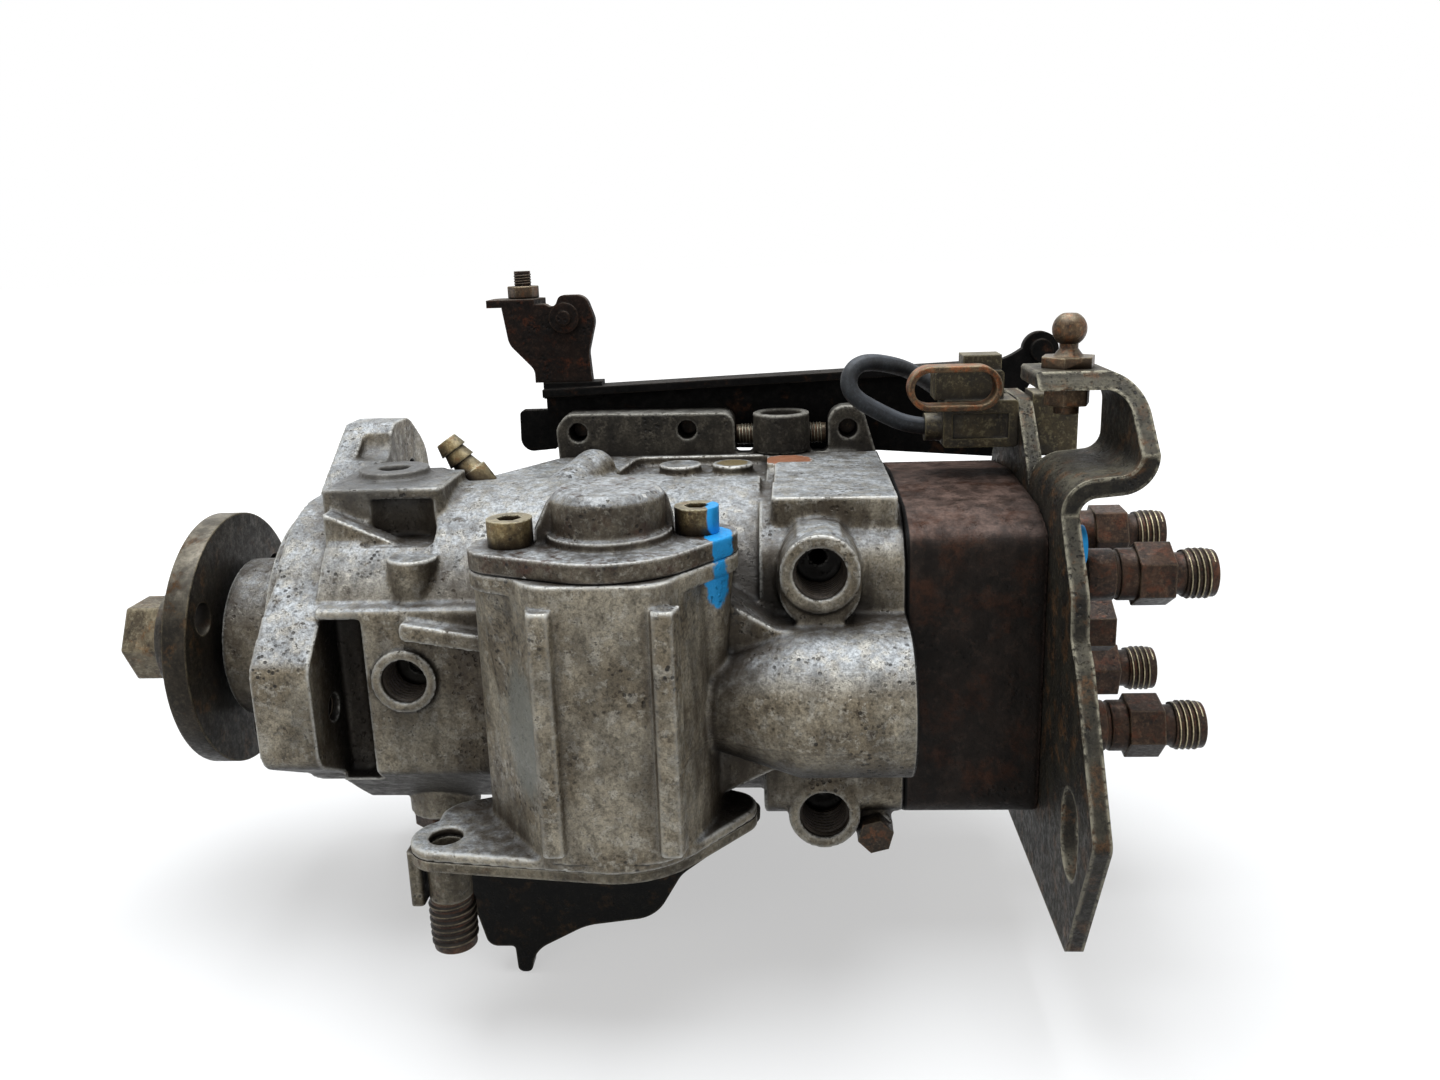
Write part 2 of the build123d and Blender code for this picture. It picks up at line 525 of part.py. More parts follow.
def cam_rollers():
    roller = rod("y", (ROLLER_X, 0), ROLLER_R, 20.6, 30) + rod("y", (ROLLER_X, 0), 1.75, 20, 31.6)
    return [Rot(45 + 90 * i, 0, 0) * roller for i in range(4)]


def cam_plate():
    """Face cam: lobes point at the rollers, a tongue fits the slot of the drive shaft."""
    x0 = CAM_X0
    plate = rod("x", (0, 0), CAM_R, x0, x0 + CAM_T) + rod("x", (0, 0), 8, 88.3, x0 + 1)
    lobe = slab("y", [(x0 + 0.5, -9.5, 0), (x0 - CAM_LIFT, -4, 2), (x0 - CAM_LIFT, 4, 2),
                      (x0 + 0.5, 9.5, 0)], 20, 30.8)
    for i in range(4):
        plate += Rot(90 * i, 0, 0) * lobe
    tongue = block((84.3, 89), (-12.5, 12.5), (-TONGUE_T / 2, TONGUE_T / 2))
    tongue &= rod("x", (0, 0), 12.5, 84, 90)
    return plate + tongue


def plunger():
    """Pumping and distributing plunger with the foot that its two springs press on."""
    foot = slab("x", [(-7, -25, 6), (7, -25, 6), (7, 25, 6), (-7, 25, 6)], CAM_X1, CAM_X1 + FOOT_T)
    return rod("x", (0, 0), PLUNGER_R, CAM_X1, 182) + foot


def plunger_springs():
    return [tube("x", (0, side * 18), 5.6, 4.4, CAM_X1 + FOOT_T, 151) for side in (-1, 1)]


def control_collar():
    collar = tube("x", (0, 0), 10, PLUNGER_R + RUN, 115, 125)
    return collar - rod("y", (LEVER_PIVOT[0], 0), 2.6, 5, 12)


def barrel():
    return tube("x", (0, 0), BARREL_R, PLUNGER_R + RUN, 140, 186)


def hydraulic_head():
    head = slab("x", [(-40, -34.5, 7), (-40, 36.5, 6), (-27, 40.5, 12), (10, 42, 40), (40, 39, 6),
                      (40, -40, 6), (-30, -39.5, 8)], HEAD_X0, HEAD_X1)
    head += rod("x", (0, 0), CHAMBER_R - RUN, 151, HEAD_X0)
    head -= rod("x", (0, 0), BARREL_R + RUN, 150, HEAD_X1 - 3.8)
    head -= rod("x", (0, 0), PLUG_R + RUN, 180, HEAD_X1 + 1)
    for at in OUTLETS:
        head -= rod("x", at, OUTLET_R + RUN, HOLDER_X0, HEAD_X1 + 1)
        head -= rod("x", at, 1.5, HOLDER_X0 - 9, HOLDER_X0 + 3)
    for at in HEAD_SCREWS:
        head -= rod("x", at, M6_R + RUN, 150, HEAD_X1 + 1)
    return head - rod("y", SOLENOID, SOLENOID_R + RUN, 28, 41)


def head_screws():
    return [socket_screw("x", at, M6_R, M6_HEAD_R, HEAD_X1 + PLATE_T, 150) for at in HEAD_SCREWS]


def centre_plug():
    x0, x1 = HEAD_X1 + PLATE_T, HEAD_X1 + PLATE_T + 14
    plug = rod("x", (0, 0), PLUG_R, HEAD_X1 - 3.6, x0 + 9)
    plug += rod("x", (0, 0), PLUG_R + 2.5, x0 + GAP, x1)
    return plug + hexagon("x", (0, 0), 13, x1, x1 + 8.4, 30)


def delivery_holders():
    """Outlet unions: threaded foot, grooved body, hexagon, neck and M12 nipple."""
    holders = []
    x = HEAD_X1
    for i, at in enumerate(OUTLETS):
        holder = rod("x", at, OUTLET_R, HOLDER_X0, x + 34.2)
        holder += rod("x", at, OUTLET_R + 0.6, x + 13, x + 20)
        holder += rod("x", at, OUTLET_R + 0.6, x + 21, x + 26)
        holder += hexagon("x", at, 14.5, x + 25.2, x + 34.2, 12 + 17 * i)
        holder += rod("x", at, OUTLET_R, OUTLET_X1 - 7.8, OUTLET_X1)
        holder += rod("x", at, OUTLET_R - 0.7, x + 33, OUTLET_X1 - 7)
        holder -= rod("x", at, HOLDER_BORE_R, HOLDER_X0 - 1, x + 22)
        holder -= rod("x", at, 1.2, x + 15, OUTLET_X1 + 1)
        holder -= cone("x", at, 1.2, 3.6, OUTLET_X1 - 4, OUTLET_X1)
        holders.append(holder)
    return holders


def delivery_valves():
    return [rod("x", at, HOLDER_BORE_R - 0.1, HOLDER_X0, VALVE_SEAT_X) +
            rod("x", at, 1.6, VALVE_SEAT_X - 1, VALVE_SEAT_X + 6) for at in OUTLETS]


def delivery_springs():
    return [tube("x", at, HOLDER_BORE_R - 0.2, 2.2, VALVE_SEAT_X, HEAD_X1 + 22) for at in OUTLETS]


# ---------------------------------------------------------------- rear bracket

def rear_bracket():
    """Plate on the head with an upright tab and a strip that curls back over it."""
    x0, x1 = HEAD_X1, HEAD_X1 + PLATE_T
    plate = slab("x", [(-50, BEND_Z, 0), (-55.5, 36, 8), (-62.5, 27.5, 6), (-63.5, 18.6, 3),
                       (-69, 13.7, 8), (-89.5, -17.6, 3), (-71.7, -53.5, 2), (30, -53.5, 8),
                       (40, -36, 8), (40, 36, 8), (26, 62, 4), (4, 62, 3), (-12, 47, 3),
                       (ARM_Y[1] + 0.5, BEND_Z, 0)], x0, x1)
    # Strip of the same sheet: bent out, up and back over, with its free end cut narrower
    inner_x1, under_z = ARM_X1 - PLATE_T, ARM_Z1 - PLATE_T
    strip = slab("y", [(x0, BEND_Z - 3, 0), (x0, ELBOW_Z, 8), (inner_x1, ELBOW_Z + 1.6, 4.5),
                       (inner_x1, under_z, 5), (ARM_X0, under_z, 0.8), (ARM_X0, ARM_Z1, 0.8),
                       (ARM_X1, ARM_Z1, 9), (ARM_X1, ELBOW_Z - 2.4, 8.5),
                       (x1, ELBOW_Z - PLATE_T, 4), (x1, BEND_Z - 3, 0)], *ARM_Y)
    strip -= slab("x", [(-60, 55, 0), (-51.5, 55, 6), (-33, ARM_Z1 - 0.5, 4),
                        (-33, ARM_Z1 + 3, 0), (-60, ARM_Z1 + 3, 0)], ARM_X0 - 7, ARM_X1 + 9)
    plate += strip
    plate -= link("x", (-70, -21.7, 7.3), (-70, -27.6, 7.3), x0 - 1, x1 + 1)
    for at in OUTLETS:
        plate -= rod("x", at, OUTLET_R + 2, x0 - 1, x1 + 1)
    plate -= rod("x", (0, 0), PLUG_R + 2.5, x0 - 1, x1 + 1)
    for at in HEAD_SCREWS:
        plate -= rod("x", at, M6_R + GAP, x0 - 1, x1 + 1)
    return plate - rod("z", BALL, M6_R + RUN, under_z - 1, ARM_Z1 + 1)


def lock_nuts():
    """Nut under the ball stud and the two nuts of the clamp bolt."""
    seat = ARM_Z1 - PLATE_T
    under = hexagon("z", BALL, 10, seat - 5, seat, 10)
    under -= rod("z", BALL, M6_R + RUN, seat - 9, seat + 1)
    bore = rod("z", CLAMP_BOLT, M5_R + RUN, 70, 99)
    pair = [hexagon("z", CLAMP_BOLT, 8.6, z, z + 3.7, 12) - bore for z in (82.4, 88.6)]
    return [under, *pair]


def ball_stud():
    z = ARM_Z1
    stud = rod("z", BALL, M6_R, z - PLATE_T - 7, z) + hexagon("z", BALL, 11.5, z, z + 2.6, 10)
    stud += cone("z", BALL, 3.6, 2.2, z + 2.6, z + 4.4) + rod("z", BALL, 2.2, z + 4.2, BALL_Z)
    ball = Pos(BALL[0], BALL[1], BALL_Z) * Sphere(BALL_R)
    return stud + (ball & rod("z", BALL, 6, BALL_Z - 6, BALL_Z + 3.7))


# ---------------------------------------------------------------- timing device

def timing_top_cover():
    z0, z1 = TIMING_Z1, TIMING_Z1 + COVER_T
    cover = cover_plate(z0, z1, TOP_ENDS, NOSE_R - 0.5)
    cover += rod("z", TIMING, DOME_R + 1.4, z1, z1 + 2.2)
    cover += rod("z", TIMING, DOME_R, z1, DOME_Z - 1.8) + \
        cone("z", TIMING, DOME_R, DOME_R - 1.8, DOME_Z - 1.8, DOME_Z)
    # A slanting web from the dome to each screw
    for sx, sy in TOP_SCREWS:
        run = Vector(sx - TIMING[0], sy - TIMING[1])
        web = slab("y", [(DOME_R - 2, z1 - 1, 0), (DOME_R - 2, DOME_Z - 2.4, 0),
                         (DOME_R + 0.6, DOME_Z - 2.4, 0), (run.length - 4.6, z1 + 1.6, 0),
                         (run.length - 4.6, z1 - 1, 0)], -1.5, 1.5)
        turn = degrees(atan2(run.Y, run.X))
        cover += Pos(TIMING[0], TIMING[1], 0) * (Rot(0, 0, turn) * web)
    cover -= rod("z", TIMING, DOME_R - 3, z0 - 1, DOME_Z - 3.5)
    for at in TOP_SCREWS:
        cover -= rod("z", at, M6_R + GAP, z0 - 1, z1 + 1)
        cover -= rod("z", at, M6_HEAD_R + 0.4, z1, z1 + 9)
    return cover


def timing_top_screws():
    return [socket_screw("z", at, M6_R, M6_HEAD_R, TIMING_Z1 + COVER_T, 18) for at in TOP_SCREWS]


def timing_low_cover():
    z0, z1 = LOW_COVER_Z0, LOW_COVER_Z0 + LOW_COVER_T
    cover = cover_plate(z0, z1, LOW_ENDS, NOSE_R - 0.5)
    cover += cone("z", TIMING, 10, 11.8, z0 - 6, z0)
    cover += rod("z", LOW_TAB, 5.0, -41, z0)
    cover += slab("z", [(40.5, -71, 1), (43.6, -71, 1), (43.6, -64, 1), (40.5, -64, 1)], -42, z1)
    cover -= rod("z", TIMING, 9, z0 - 4, z1 + 1)
    return cover - rod("z", LOW_TAB, LOW_TAB_R, -42, z1 + 1)


def tab_stud():
    return rod("z", LOW_TAB, LOW_TAB_R - RUN, -41, -32) + rod("z", LOW_TAB, 5.0, -54, -41)


def timing_piston():
    piston = rod("z", TIMING, TIMING_BORE_R - RUN, -14, 16)
    piston -= rod("z", TIMING, PISTON_BORE_R, 5.2, 17)
    piston -= rod("z", TIMING, PISTON_BORE_R, -15, -9)
    return piston - slab("y", [(TIMING[0] - 3.4, -4.6, 3.3), (TIMING[0] + 3.4, -4.6, 3.3),
                               (TIMING[0] + 3.4, 4.6, 3.3), (TIMING[0] - 3.4, 4.6, 3.3)],
                         TIMING[1] - 7, TIMING[1] + 16)


def timing_pin():
    return rod("y", (TIMING[0], 0), PIN_R, TIMING[1] - 5, -20)


def timing_spring():
    return tube("z", TIMING, 8.4, 6.6, -30.4, -9)


def advance_bracket():
    z1 = LOW_COVER_Z0
    plate = slab("y", [(46, z1, 0), (125, z1, 2), (113, -40, 10), (101, -49, 8), (94, -61, 10),
                       (76, -63.5, 16), (62, -71, 8), (61.2, -77, 1.6), (57.6, -77, 1.6),
                       (57.2, -69.5, 1), (50.5, -69.5, 3), (46, -52, 4)], -45.5, -41.5)
    foot = slab("z", [(46, -45.5, 0), (46, -41.5, 0), (120, -41.5, 0), (120, -45.5, 0)],
                z1 - 3, z1)
    return plate + foot


# ---------------------------------------------------------------- governor cover

def cover_box(inset, y0, y1):
    x0, x1, z0, z1 = COVER
    return slab("y", [(x0 + 5 + inset, z0 + 5 + inset, 5), (x1 - 4 - inset, z0 + 5 + inset, 5),
                      (x1 - 4 - inset, z1 - 5 - inset, 5), (x0 + 5 + inset, z1 - 5 - inset, 5)],
                y0, y1)


def governor_cover():
    x0, x1, z0, z1 = COVER
    cover = slab("y", [(x0 + 2, -BOX_Z, 5), (x1, -BOX_Z, 5), (x1, BOX_Z, 5), (x0 + 2, BOX_Z, 5)],
                 BOX_Y1, COVER_FLANGE_Y)
    cover += cover_box(0, COVER_FLANGE_Y - 1, COVER_Y1)
    # Rail, boss and ear along the upper edge
    cover += slab("y", [(59.1, 39, 0), (58.6, 50, 4), (62, 54.2, 4), (113.6, 53.6, 4),
                        (113.6, 40, 2)], BOX_Y1, LUG_Y)
    cover += block((60, 113), (COVER_FLANGE_Y - 1, LUG_Y), (31, 42))
    cover += rod("z", BOSS, BOSS_R, BOX_Z + GAP, 53.2)
    cover += block((BOSS[0] - BOSS_R, BOSS[0] + BOSS_R), (BOX_Y1, LUG_Y), (31, 50))
    cover += slab("y", [(142, 31, 0), (142, 54.8, 5), (152.4, 54.8, 5), (157.3, 38, 2),
                        (150, 31, 0)], BOX_Y1 + 1, 54)
    cover += block((142, 149), (BOX_Y1 + 1, LUG_Y), (31, 40))
    # Seats on top for the throttle shaft, the full-load screw and the stops
    cover += rod("y", THROTTLE, 10, COVER_Y1 - 1, COVER_Y1 + 4)
    cover += slab("x", [(COVER_Y1 - 6, 6, 0), (COVER_Y1 + 3, 6, 0), (COVER_Y1 + 8, 9, 3),
                        (COVER_Y1 + 8, 17, 3), (COVER_Y1 - 1, 18, 0)], 140, 148)
    for x in STOP_LUGS:
        cover += slab("x", [(COVER_Y1 - 2, 16, 0), (COVER_Y1 + 11, 17, 3),
                            (COVER_Y1 + 11, 27, 3), (COVER_Y1 - 2, 28, 0)], x, x + 6)
    # Inside and holes
    cover -= cover_box(4, BOX_Y1 - 1, COVER_Y1 - 4)
    cover -= rod("y", THROTTLE, THROTTLE_R + RUN, 60, COVER_Y1 + 5)
    for x, z in COVER_SCREWS:
        cover -= rod("y", (x, z), M5_R + GAP, BOX_Y1 - 1, COVER_FLANGE_Y + 1)
        cover -= rod("y", (x, z), M5_HEAD_R + 0.35, COVER_FLANGE_Y, 60)
    for at in (*RAIL_HOLES, EAR_HOLE):
        cover -= rod("y", at, M5_R + 0.4, BOX_Y1 - 1, 60)
    cover -= rod("z", BOSS, 6.2, 48.8, 54)
    cover -= rod("x", BOSS_SCREW, M6_R + RUN, 112, 143)
    for x in STOP_LUGS:
        cover -= rod("x", STOP_SCREWS, M6_R + RUN, x - 1, x + 7)
    return cover - rod("x", LOAD_SCREW, M6_R + RUN, 134, 150)


def cover_screws():
    """Four screws of the cover and the three that hold the bar to its lugs."""
    return [socket_screw("y", at, M5_R, M5_HEAD_R, COVER_FLANGE_Y, 32) for at in COVER_SCREWS] + \
        [socket_screw("y", at, M5_R, M5_HEAD_R, BAR_Y[1], BAR_SCREW_TIP_Y)
         for at in (*RAIL_HOLES, EAR_HOLE)]


def adjusting_screws():
    """Idle and full-speed stops of the throttle lever, full-load screw, screw in the boss."""
    stop, load = STOP_SCREWS, LOAD_SCREW
    return [rod("x", stop, M6_R, 58, 76) + hexagon("x", stop, 10, 61, 65.8, 10),
            rod("x", stop, M6_R, 102, 124) + hexagon("x", stop, 10, 118.2, 123, 20),
            rod("x", load, M6_R, 136, 158) + hexagon("x", load, 10, 149.2, 154, 10),
            rod("x", BOSS_SCREW, M6_R, 113.9, 141.5)]


def throttle_lever():
    y0, y1 = COVER_Y1 + 7.5, COVER_Y1 + 11
    hub = (*THROTTLE, THROTTLE_R + 4)
    end = (THROTTLE[0] - 8, -38)
    lever = link("y", hub, (THROTTLE[0] + 3, 24, 5), y0, y1) + link("y", hub, (*end, 6), y0, y1)
    lever += rod("y", end, 4.2, y1, y1 + 8)
    return lever - rod("y", THROTTLE, THROTTLE_R + RUN, y0 - 1, y1 + 1)


def return_spring():
    """Coil of three turns round the boss of the throttle shaft."""
    turns, pitch, wire_r = 2.75, 1.95, 0.9
    path = Helix(pitch, turns * pitch, 11.3)
    coil = sweep(Plane(origin=path @ 0, z_dir=path % 0) * Circle(wire_r), path=path,
                 is_frenet=True)
    seat = Plane((THROTTLE[0], COVER_Y1 + 1.1, THROTTLE[1]), x_dir=(1, 0, 0), z_dir=(0, 1, 0))
    return seat * coil


# ---------------------------------------------------------------- cable bar and clamp

def cable_bar():
    bar = slab("y", [(54, 42, 3), (54, 60.5, 1), (196, 65.6, 20), (206, 72, 0), (213, 69, 0),
                     (204, 58, 12), (196, 36, 4), (159, 38.8, 30), (120, 40.5, 0)], *BAR_Y)
    bar += rod("y", (207.5, 69), 5.5, *BAR_Y)
    bar += block((54, 72.3), (BAR_Y[0] - 3.5, BAR_Y[1]), (58, 63))
    bar += slab("y", [(44.8, 40.6, 4), (45.2, 54, 1.5), (56, 54, 0), (56, 41.5, 0)], *BAR_Y)
    bar += slab("y", [(54, 58.6, 0), (54, 61.0, 0), (190, 66.0, 0), (190, 63.6, 0)],
                BAR_Y[0] - 6, BAR_Y[1])
    bar += rod("y", (207.5, 69), 3.4, BAR_Y[0] - 2.5, BAR_Y[1] + 1.5)
    for at in (*RAIL_HOLES, EAR_HOLE):
        bar -= rod("y", at, M5_R + RUN, BAR_Y[0] - 1, BAR_Y[1] + 1)
    return bar


def cable_clamp():
    """Bracket that stands on the bar, with a top strip for its nut."""
    y0, y1 = BAR_Y[0] - 3, BAR_Y[0] + 1
    clamp = slab("y", [(51.5, 63, 0), (51.5, 67, 4), (44, 75, 6), (42.3, 87, 1), (56, 87, 2),
                       (58.5, 85, 2), (60.5, 89.5, 2), (68.5, 89.5, 4), (71.2, 81.6, 6),
                       (68.7, 72, 6), (69.3, 63, 0)], y0, y1)
    clamp += slab("z", [(37.8, y0, 0), (52.5, y0, 0), (55, y1 + 9, 3), (37.8, y1 + 9, 3)],
                  86.2, 88.5)
    clamp += block((54, 68), (y0, BAR_Y[1]), (63, 65))
    clamp -= rod("z", CLAMP_BOLT, M5_R + GAP, 80, 92)
    clamp += rod("y", CLAMP_PIN, 4.6, y0 - 1.4, y1 + 1.4)
    return clamp + rod("y", CLAMP_PIN, 2.2, y0 - 2.6, y1 + 3)


def clamp_bolt():
    return rod("z", CLAMP_BOLT, M5_R, 77.5, 96.8) + cone("z", CLAMP_BOLT, 2, 4.4, 75, 79)


# ---------------------------------------------------------------- connector and lead

def connector_body():
    """Plug half in front of the tab: shell with a recessed side, cap and gland."""
    x0, x1 = CONN_X0, CONN_X1
    body = slab("y", [(x0, 49.6, 1), (x1, 49.6, 1), (x1, 62, 1), (x0, 62, 1)], *CONN_Y)
    body -= block((x0 + 2.5, x1 - 2.5), (0, CONN_Y[0] + 0.9), (52, 58.5))
    body += slab("y", [(x0 - 2, 62, 0), (x1 - 3.5, 62, 0), (x1 - 3.5, 69.5, 1), (x0 - 2, 69.5, 1)],
                 CONN_Y[0] + 2.5, CONN_Y[1])
    body += block((x0 + 5.5, x1 - 4), (CONN_Y[0] + 4, CONN_Y[1]), (69, 73.4))
    body += rod("x", LEAD_YZ, LEAD_R + 1.4, x0 - 4.5, x0 + 0.5)
    return body - rod("x", LEAD_YZ, LEAD_R + RUN, x0 - 5.5, x0 + 0.5)


def connector_socket():
    """Fixed half behind the tab."""
    x0 = HEAD_X1 + PLATE_T
    half = slab("x", [(3, 46.5, 1), (13.5, 46.5, 1), (13.5, 63.5, 1), (3, 63.5, 1)], x0, x0 + 12)
    return half + block((x0 + 3, x0 + 9), (6, 12), (63, 65.6))


def lock_clip():
    y1 = CONN_Y[0]
    ends = [(CONN_X0 - 4.1, 66), (CONN_X0 + 8.3, 66)]
    clip = link("y", (*ends[0], 5.8), (*ends[1], 5.8), y1 - 6.5, y1)
    return clip - link("y", (*ends[0], 4.2), (*ends[1], 4.2), y1 - 8, y1 + 1)


def lead():
    radii = []
    points = [Vector(HEAD_X1 + x, y, z) for x, y, z in LEAD_ROUTE]
    for i in range(1, len(points) - 1):
        back, ahead = points[i - 1] - points[i], points[i + 1] - points[i]
        turn = pi - radians(back.get_angle(ahead))
        radii.append(0.45 * min(back.length, ahead.length) / tan(turn / 2))
    path = FilletPolyline(*points, radius=radii)
    print("lead radii", [round(r, 1) for r in radii], "length", round(path.length, 1))
    start = Plane(origin=path @ 0, z_dir=path % 0)
    return sweep(start * Circle(LEAD_R), path=path, transition=Transition.ROUND)


def solenoid():
    """Shut-off solenoid; its terminal points along the last run of the lead."""
    at = SOLENOID
    body = rod("y", at, SOLENOID_R, 29, 40) + hexagon("y", at, 24, 40, 46, 15)
    body += rod("y", at, 11.5, 46, 74) + rod("y", at, 4, 74, 77)
    x, y, z = LEAD_ROUTE[-1]
    end = Vector(HEAD_X1 + x, y, z)
    along = end - Vector(at[0], end.Y, at[1])
    terminal = Cylinder(3.4, along.length, align=(Align.CENTER, Align.CENTER, Align.MIN))
    return body + Plane((at[0], end.Y, at[1]), z_dir=along) * terminal


# ---------------------------------------------------------------- small fittings

def return_union():
    """Barbed union for the leak-off hose, leaning towards the drive end."""
    union = rod("z", (0, 0), UNION_R, -4, 2)
    for i in range(3):
        union += cone("z", (0, 0), 3.9, 3.0, 2 + 3.6 * i, 5.6 + 3.6 * i)
    union -= rod("z", (0, 0), 1.6, -5, 14)
    return UNION_SEAT * union


def regulating_valve():
    return rod("z", VALVE, VALVE_R, -45, -30) + hexagon("z", VALVE, 15, -49.5, -45, 20)


def drain_screw():
    return rod("y", DRAIN, M6_R, -37, -27) + hexagon("y", DRAIN, 8, -41.5, -37, 15)


PARTS = [
    housing, drive_shaft, drive_hub, shaft_nut, shaft_seal, shaft_bush, pump_ring, pump_rotor,
    pump_vanes, pump_plate, governor_drive_gear, governor_shaft, governor_cage, flyweights,
    governor_sleeve, governor_lever, governor_spring, throttle_shaft, throttle_lever,
    return_spring, roller_ring, cam_rollers, cam_plate, plunger, plunger_springs, control_collar,
    barrel, hydraulic_head, head_screws, centre_plug, delivery_holders, delivery_valves,
    delivery_springs, rear_bracket, ball_stud, lock_nuts, timing_top_cover, timing_top_screws,
    timing_low_cover, tab_stud, timing_piston, timing_pin, timing_spring, advance_bracket,
    governor_cover, cover_screws, adjusting_screws, cable_bar, cable_clamp, clamp_bolt,
    connector_body, connector_socket, lock_clip, lead, solenoid, return_union, regulating_valve,
    drain_screw,
]

os.makedirs("parts", exist_ok=True)
for make in PARTS:
    shape = make()
    pieces = shape if isinstance(shape, list) else [shape]
    solids = [solid for piece in pieces for solid in piece.solids()]
    node = solids[0] if len(solids) == 1 else Compound(children=solids)
    export_step(node, f"parts/{make.__name__}.step")
    if not isinstance(shape, list) and len(solids) > 1:
        print(make.__name__, "has", len(solids), "solids", [round(x.volume) for x in solids])
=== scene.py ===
from math import cos, radians, sin, tau

import bmesh
import bpy
from mathutils import Matrix, Vector


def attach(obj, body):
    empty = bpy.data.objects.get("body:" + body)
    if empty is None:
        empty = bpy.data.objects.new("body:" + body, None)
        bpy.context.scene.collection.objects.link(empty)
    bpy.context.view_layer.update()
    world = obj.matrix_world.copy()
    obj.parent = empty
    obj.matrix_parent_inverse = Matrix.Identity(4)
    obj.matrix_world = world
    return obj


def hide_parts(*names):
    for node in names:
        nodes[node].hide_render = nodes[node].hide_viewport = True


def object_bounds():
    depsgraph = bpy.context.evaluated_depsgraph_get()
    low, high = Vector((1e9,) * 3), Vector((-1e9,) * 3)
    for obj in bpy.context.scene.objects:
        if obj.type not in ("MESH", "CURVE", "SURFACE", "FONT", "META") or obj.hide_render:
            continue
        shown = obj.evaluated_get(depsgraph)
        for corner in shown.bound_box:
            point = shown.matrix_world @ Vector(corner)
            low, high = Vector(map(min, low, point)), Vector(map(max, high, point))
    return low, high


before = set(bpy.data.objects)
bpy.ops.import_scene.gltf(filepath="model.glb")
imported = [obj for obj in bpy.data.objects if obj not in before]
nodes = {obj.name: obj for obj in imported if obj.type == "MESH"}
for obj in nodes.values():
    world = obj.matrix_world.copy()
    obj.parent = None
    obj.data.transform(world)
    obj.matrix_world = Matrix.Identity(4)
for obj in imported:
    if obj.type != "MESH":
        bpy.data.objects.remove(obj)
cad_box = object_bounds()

MM = 0.001

# ---------------------------------------------------------------------------
# Viewpoint. A wide lens close to the timing device, a little above the pump
# and tilted down, turned slightly towards the drive end.

yaw, pitch, roll = radians(-3.249), radians(14.718), radians(-1.795)
ahead = Vector((sin(yaw) * cos(pitch), cos(yaw) * cos(pitch), -sin(pitch)))
level = Vector((cos(yaw), -sin(yaw), 0))
over = level.cross(ahead)
side = level * cos(roll) + over * sin(roll)
upward = over * cos(roll) - level * sin(roll)
eye = Vector((128.107, -306.961, 106.491)) * MM

focal_length, film_width, nearest = 29.21, 36.0, 0.01

lens = bpy.data.cameras.new("camera")
lens.lens, lens.sensor_width, lens.clip_start = focal_length, film_width, nearest
camera = bpy.data.objects.new("camera", lens)
camera.matrix_world = Matrix.Translation(eye) @ Matrix((side, upward, -ahead)).transposed().to_4x4()
bpy.context.scene.collection.objects.link(camera)
bpy.context.scene.camera = camera

# ---------------------------------------------------------------------------
# Studio. A pale floor that fades to white away from the pump, one large soft
# lamp above, two weak ones beside it and a low even surround.

def add(tree, kind, wires=None, **settings):
    """New shader node; wires gives values or sockets for its inputs."""
    node = tree.nodes.new("ShaderNode" + kind)
    for key, value in settings.items():
        setattr(node, key, value)
    for key, value in (wires or {}).items():
        if isinstance(value, bpy.types.NodeSocket):
            tree.links.new(value, node.inputs[key])
        else:
            node.inputs[key].default_value = value
    return node


def shown_directly(tree):
    """1 for rays from the camera and for those that a gloss or a clear piece sends on."""
    path = add(tree, "LightPath").outputs
    pair = add(tree, "Math", {0: path["Is Camera Ray"], 1: path["Is Glossy Ray"]},
               operation="MAXIMUM")
    return add(tree, "Math", {0: pair.outputs[0], 1: path["Is Transmission Ray"]},
               operation="MAXIMUM").outputs[0]


paper = bpy.data.materials.new("studio_paper")
paper.use_nodes = True
tree = paper.node_tree
tree.nodes.clear()
pump_middle = (0.09, 0.0, 0.0)
fade_start, fade_end = 0.16, 0.75
paper_grey = (0.40, 0.40, 0.40, 1)
spot = add(tree, "VectorMath", {0: add(tree, "TexCoord").outputs["Object"], 1: pump_middle},
           operation="DISTANCE").outputs["Value"]
fade = add(tree, "MapRange", {"Value": spot, "From Min": fade_start, "From Max": fade_end,
                              "To Min": 0.50, "To Max": 1.0},
           interpolation_type="SMOOTHSTEP").outputs[0]
matt = add(tree, "BsdfDiffuse", {"Color": paper_grey})
glow = add(tree, "Emission", {"Color": (1, 1, 1, 1), "Strength": fade})
both = add(tree, "AddShader", {0: matt.outputs[0], 1: glow.outputs[0]})
pick = add(tree, "MixShader", {0: shown_directly(tree), 1: matt.outputs[0], 2: both.outputs[0]})
add(tree, "OutputMaterial", {"Surface": pick.outputs[0]})

floor_gap = 0.6 * MM
floor_z = cad_box[0][2] - floor_gap
reach = 6.0
sheet = bpy.data.meshes.new("floor")
sheet.from_pydata([(x, y, floor_z) for x, y in ((-reach, -reach), (reach, -reach),
                                                (reach, reach), (-reach, reach))],
                  [], [(0, 1, 2, 3)])
sheet.materials.append(paper)
floor = bpy.data.objects.new("floor", sheet)
bpy.context.scene.collection.objects.link(floor)

world = bpy.data.worlds.new("surround")
world.use_nodes = True
bpy.context.scene.world = world
tree = world.node_tree
tree.nodes.clear()
strength = add(tree, "MapRange", {"Value": shown_directly(tree), "To Min": 0.22, "To Max": 1.0})
sky = add(tree, "Background", {"Color": (1, 1, 1, 1), "Strength": strength.outputs[0]})
add(tree, "OutputWorld", {"Surface": sky.outputs[0]})

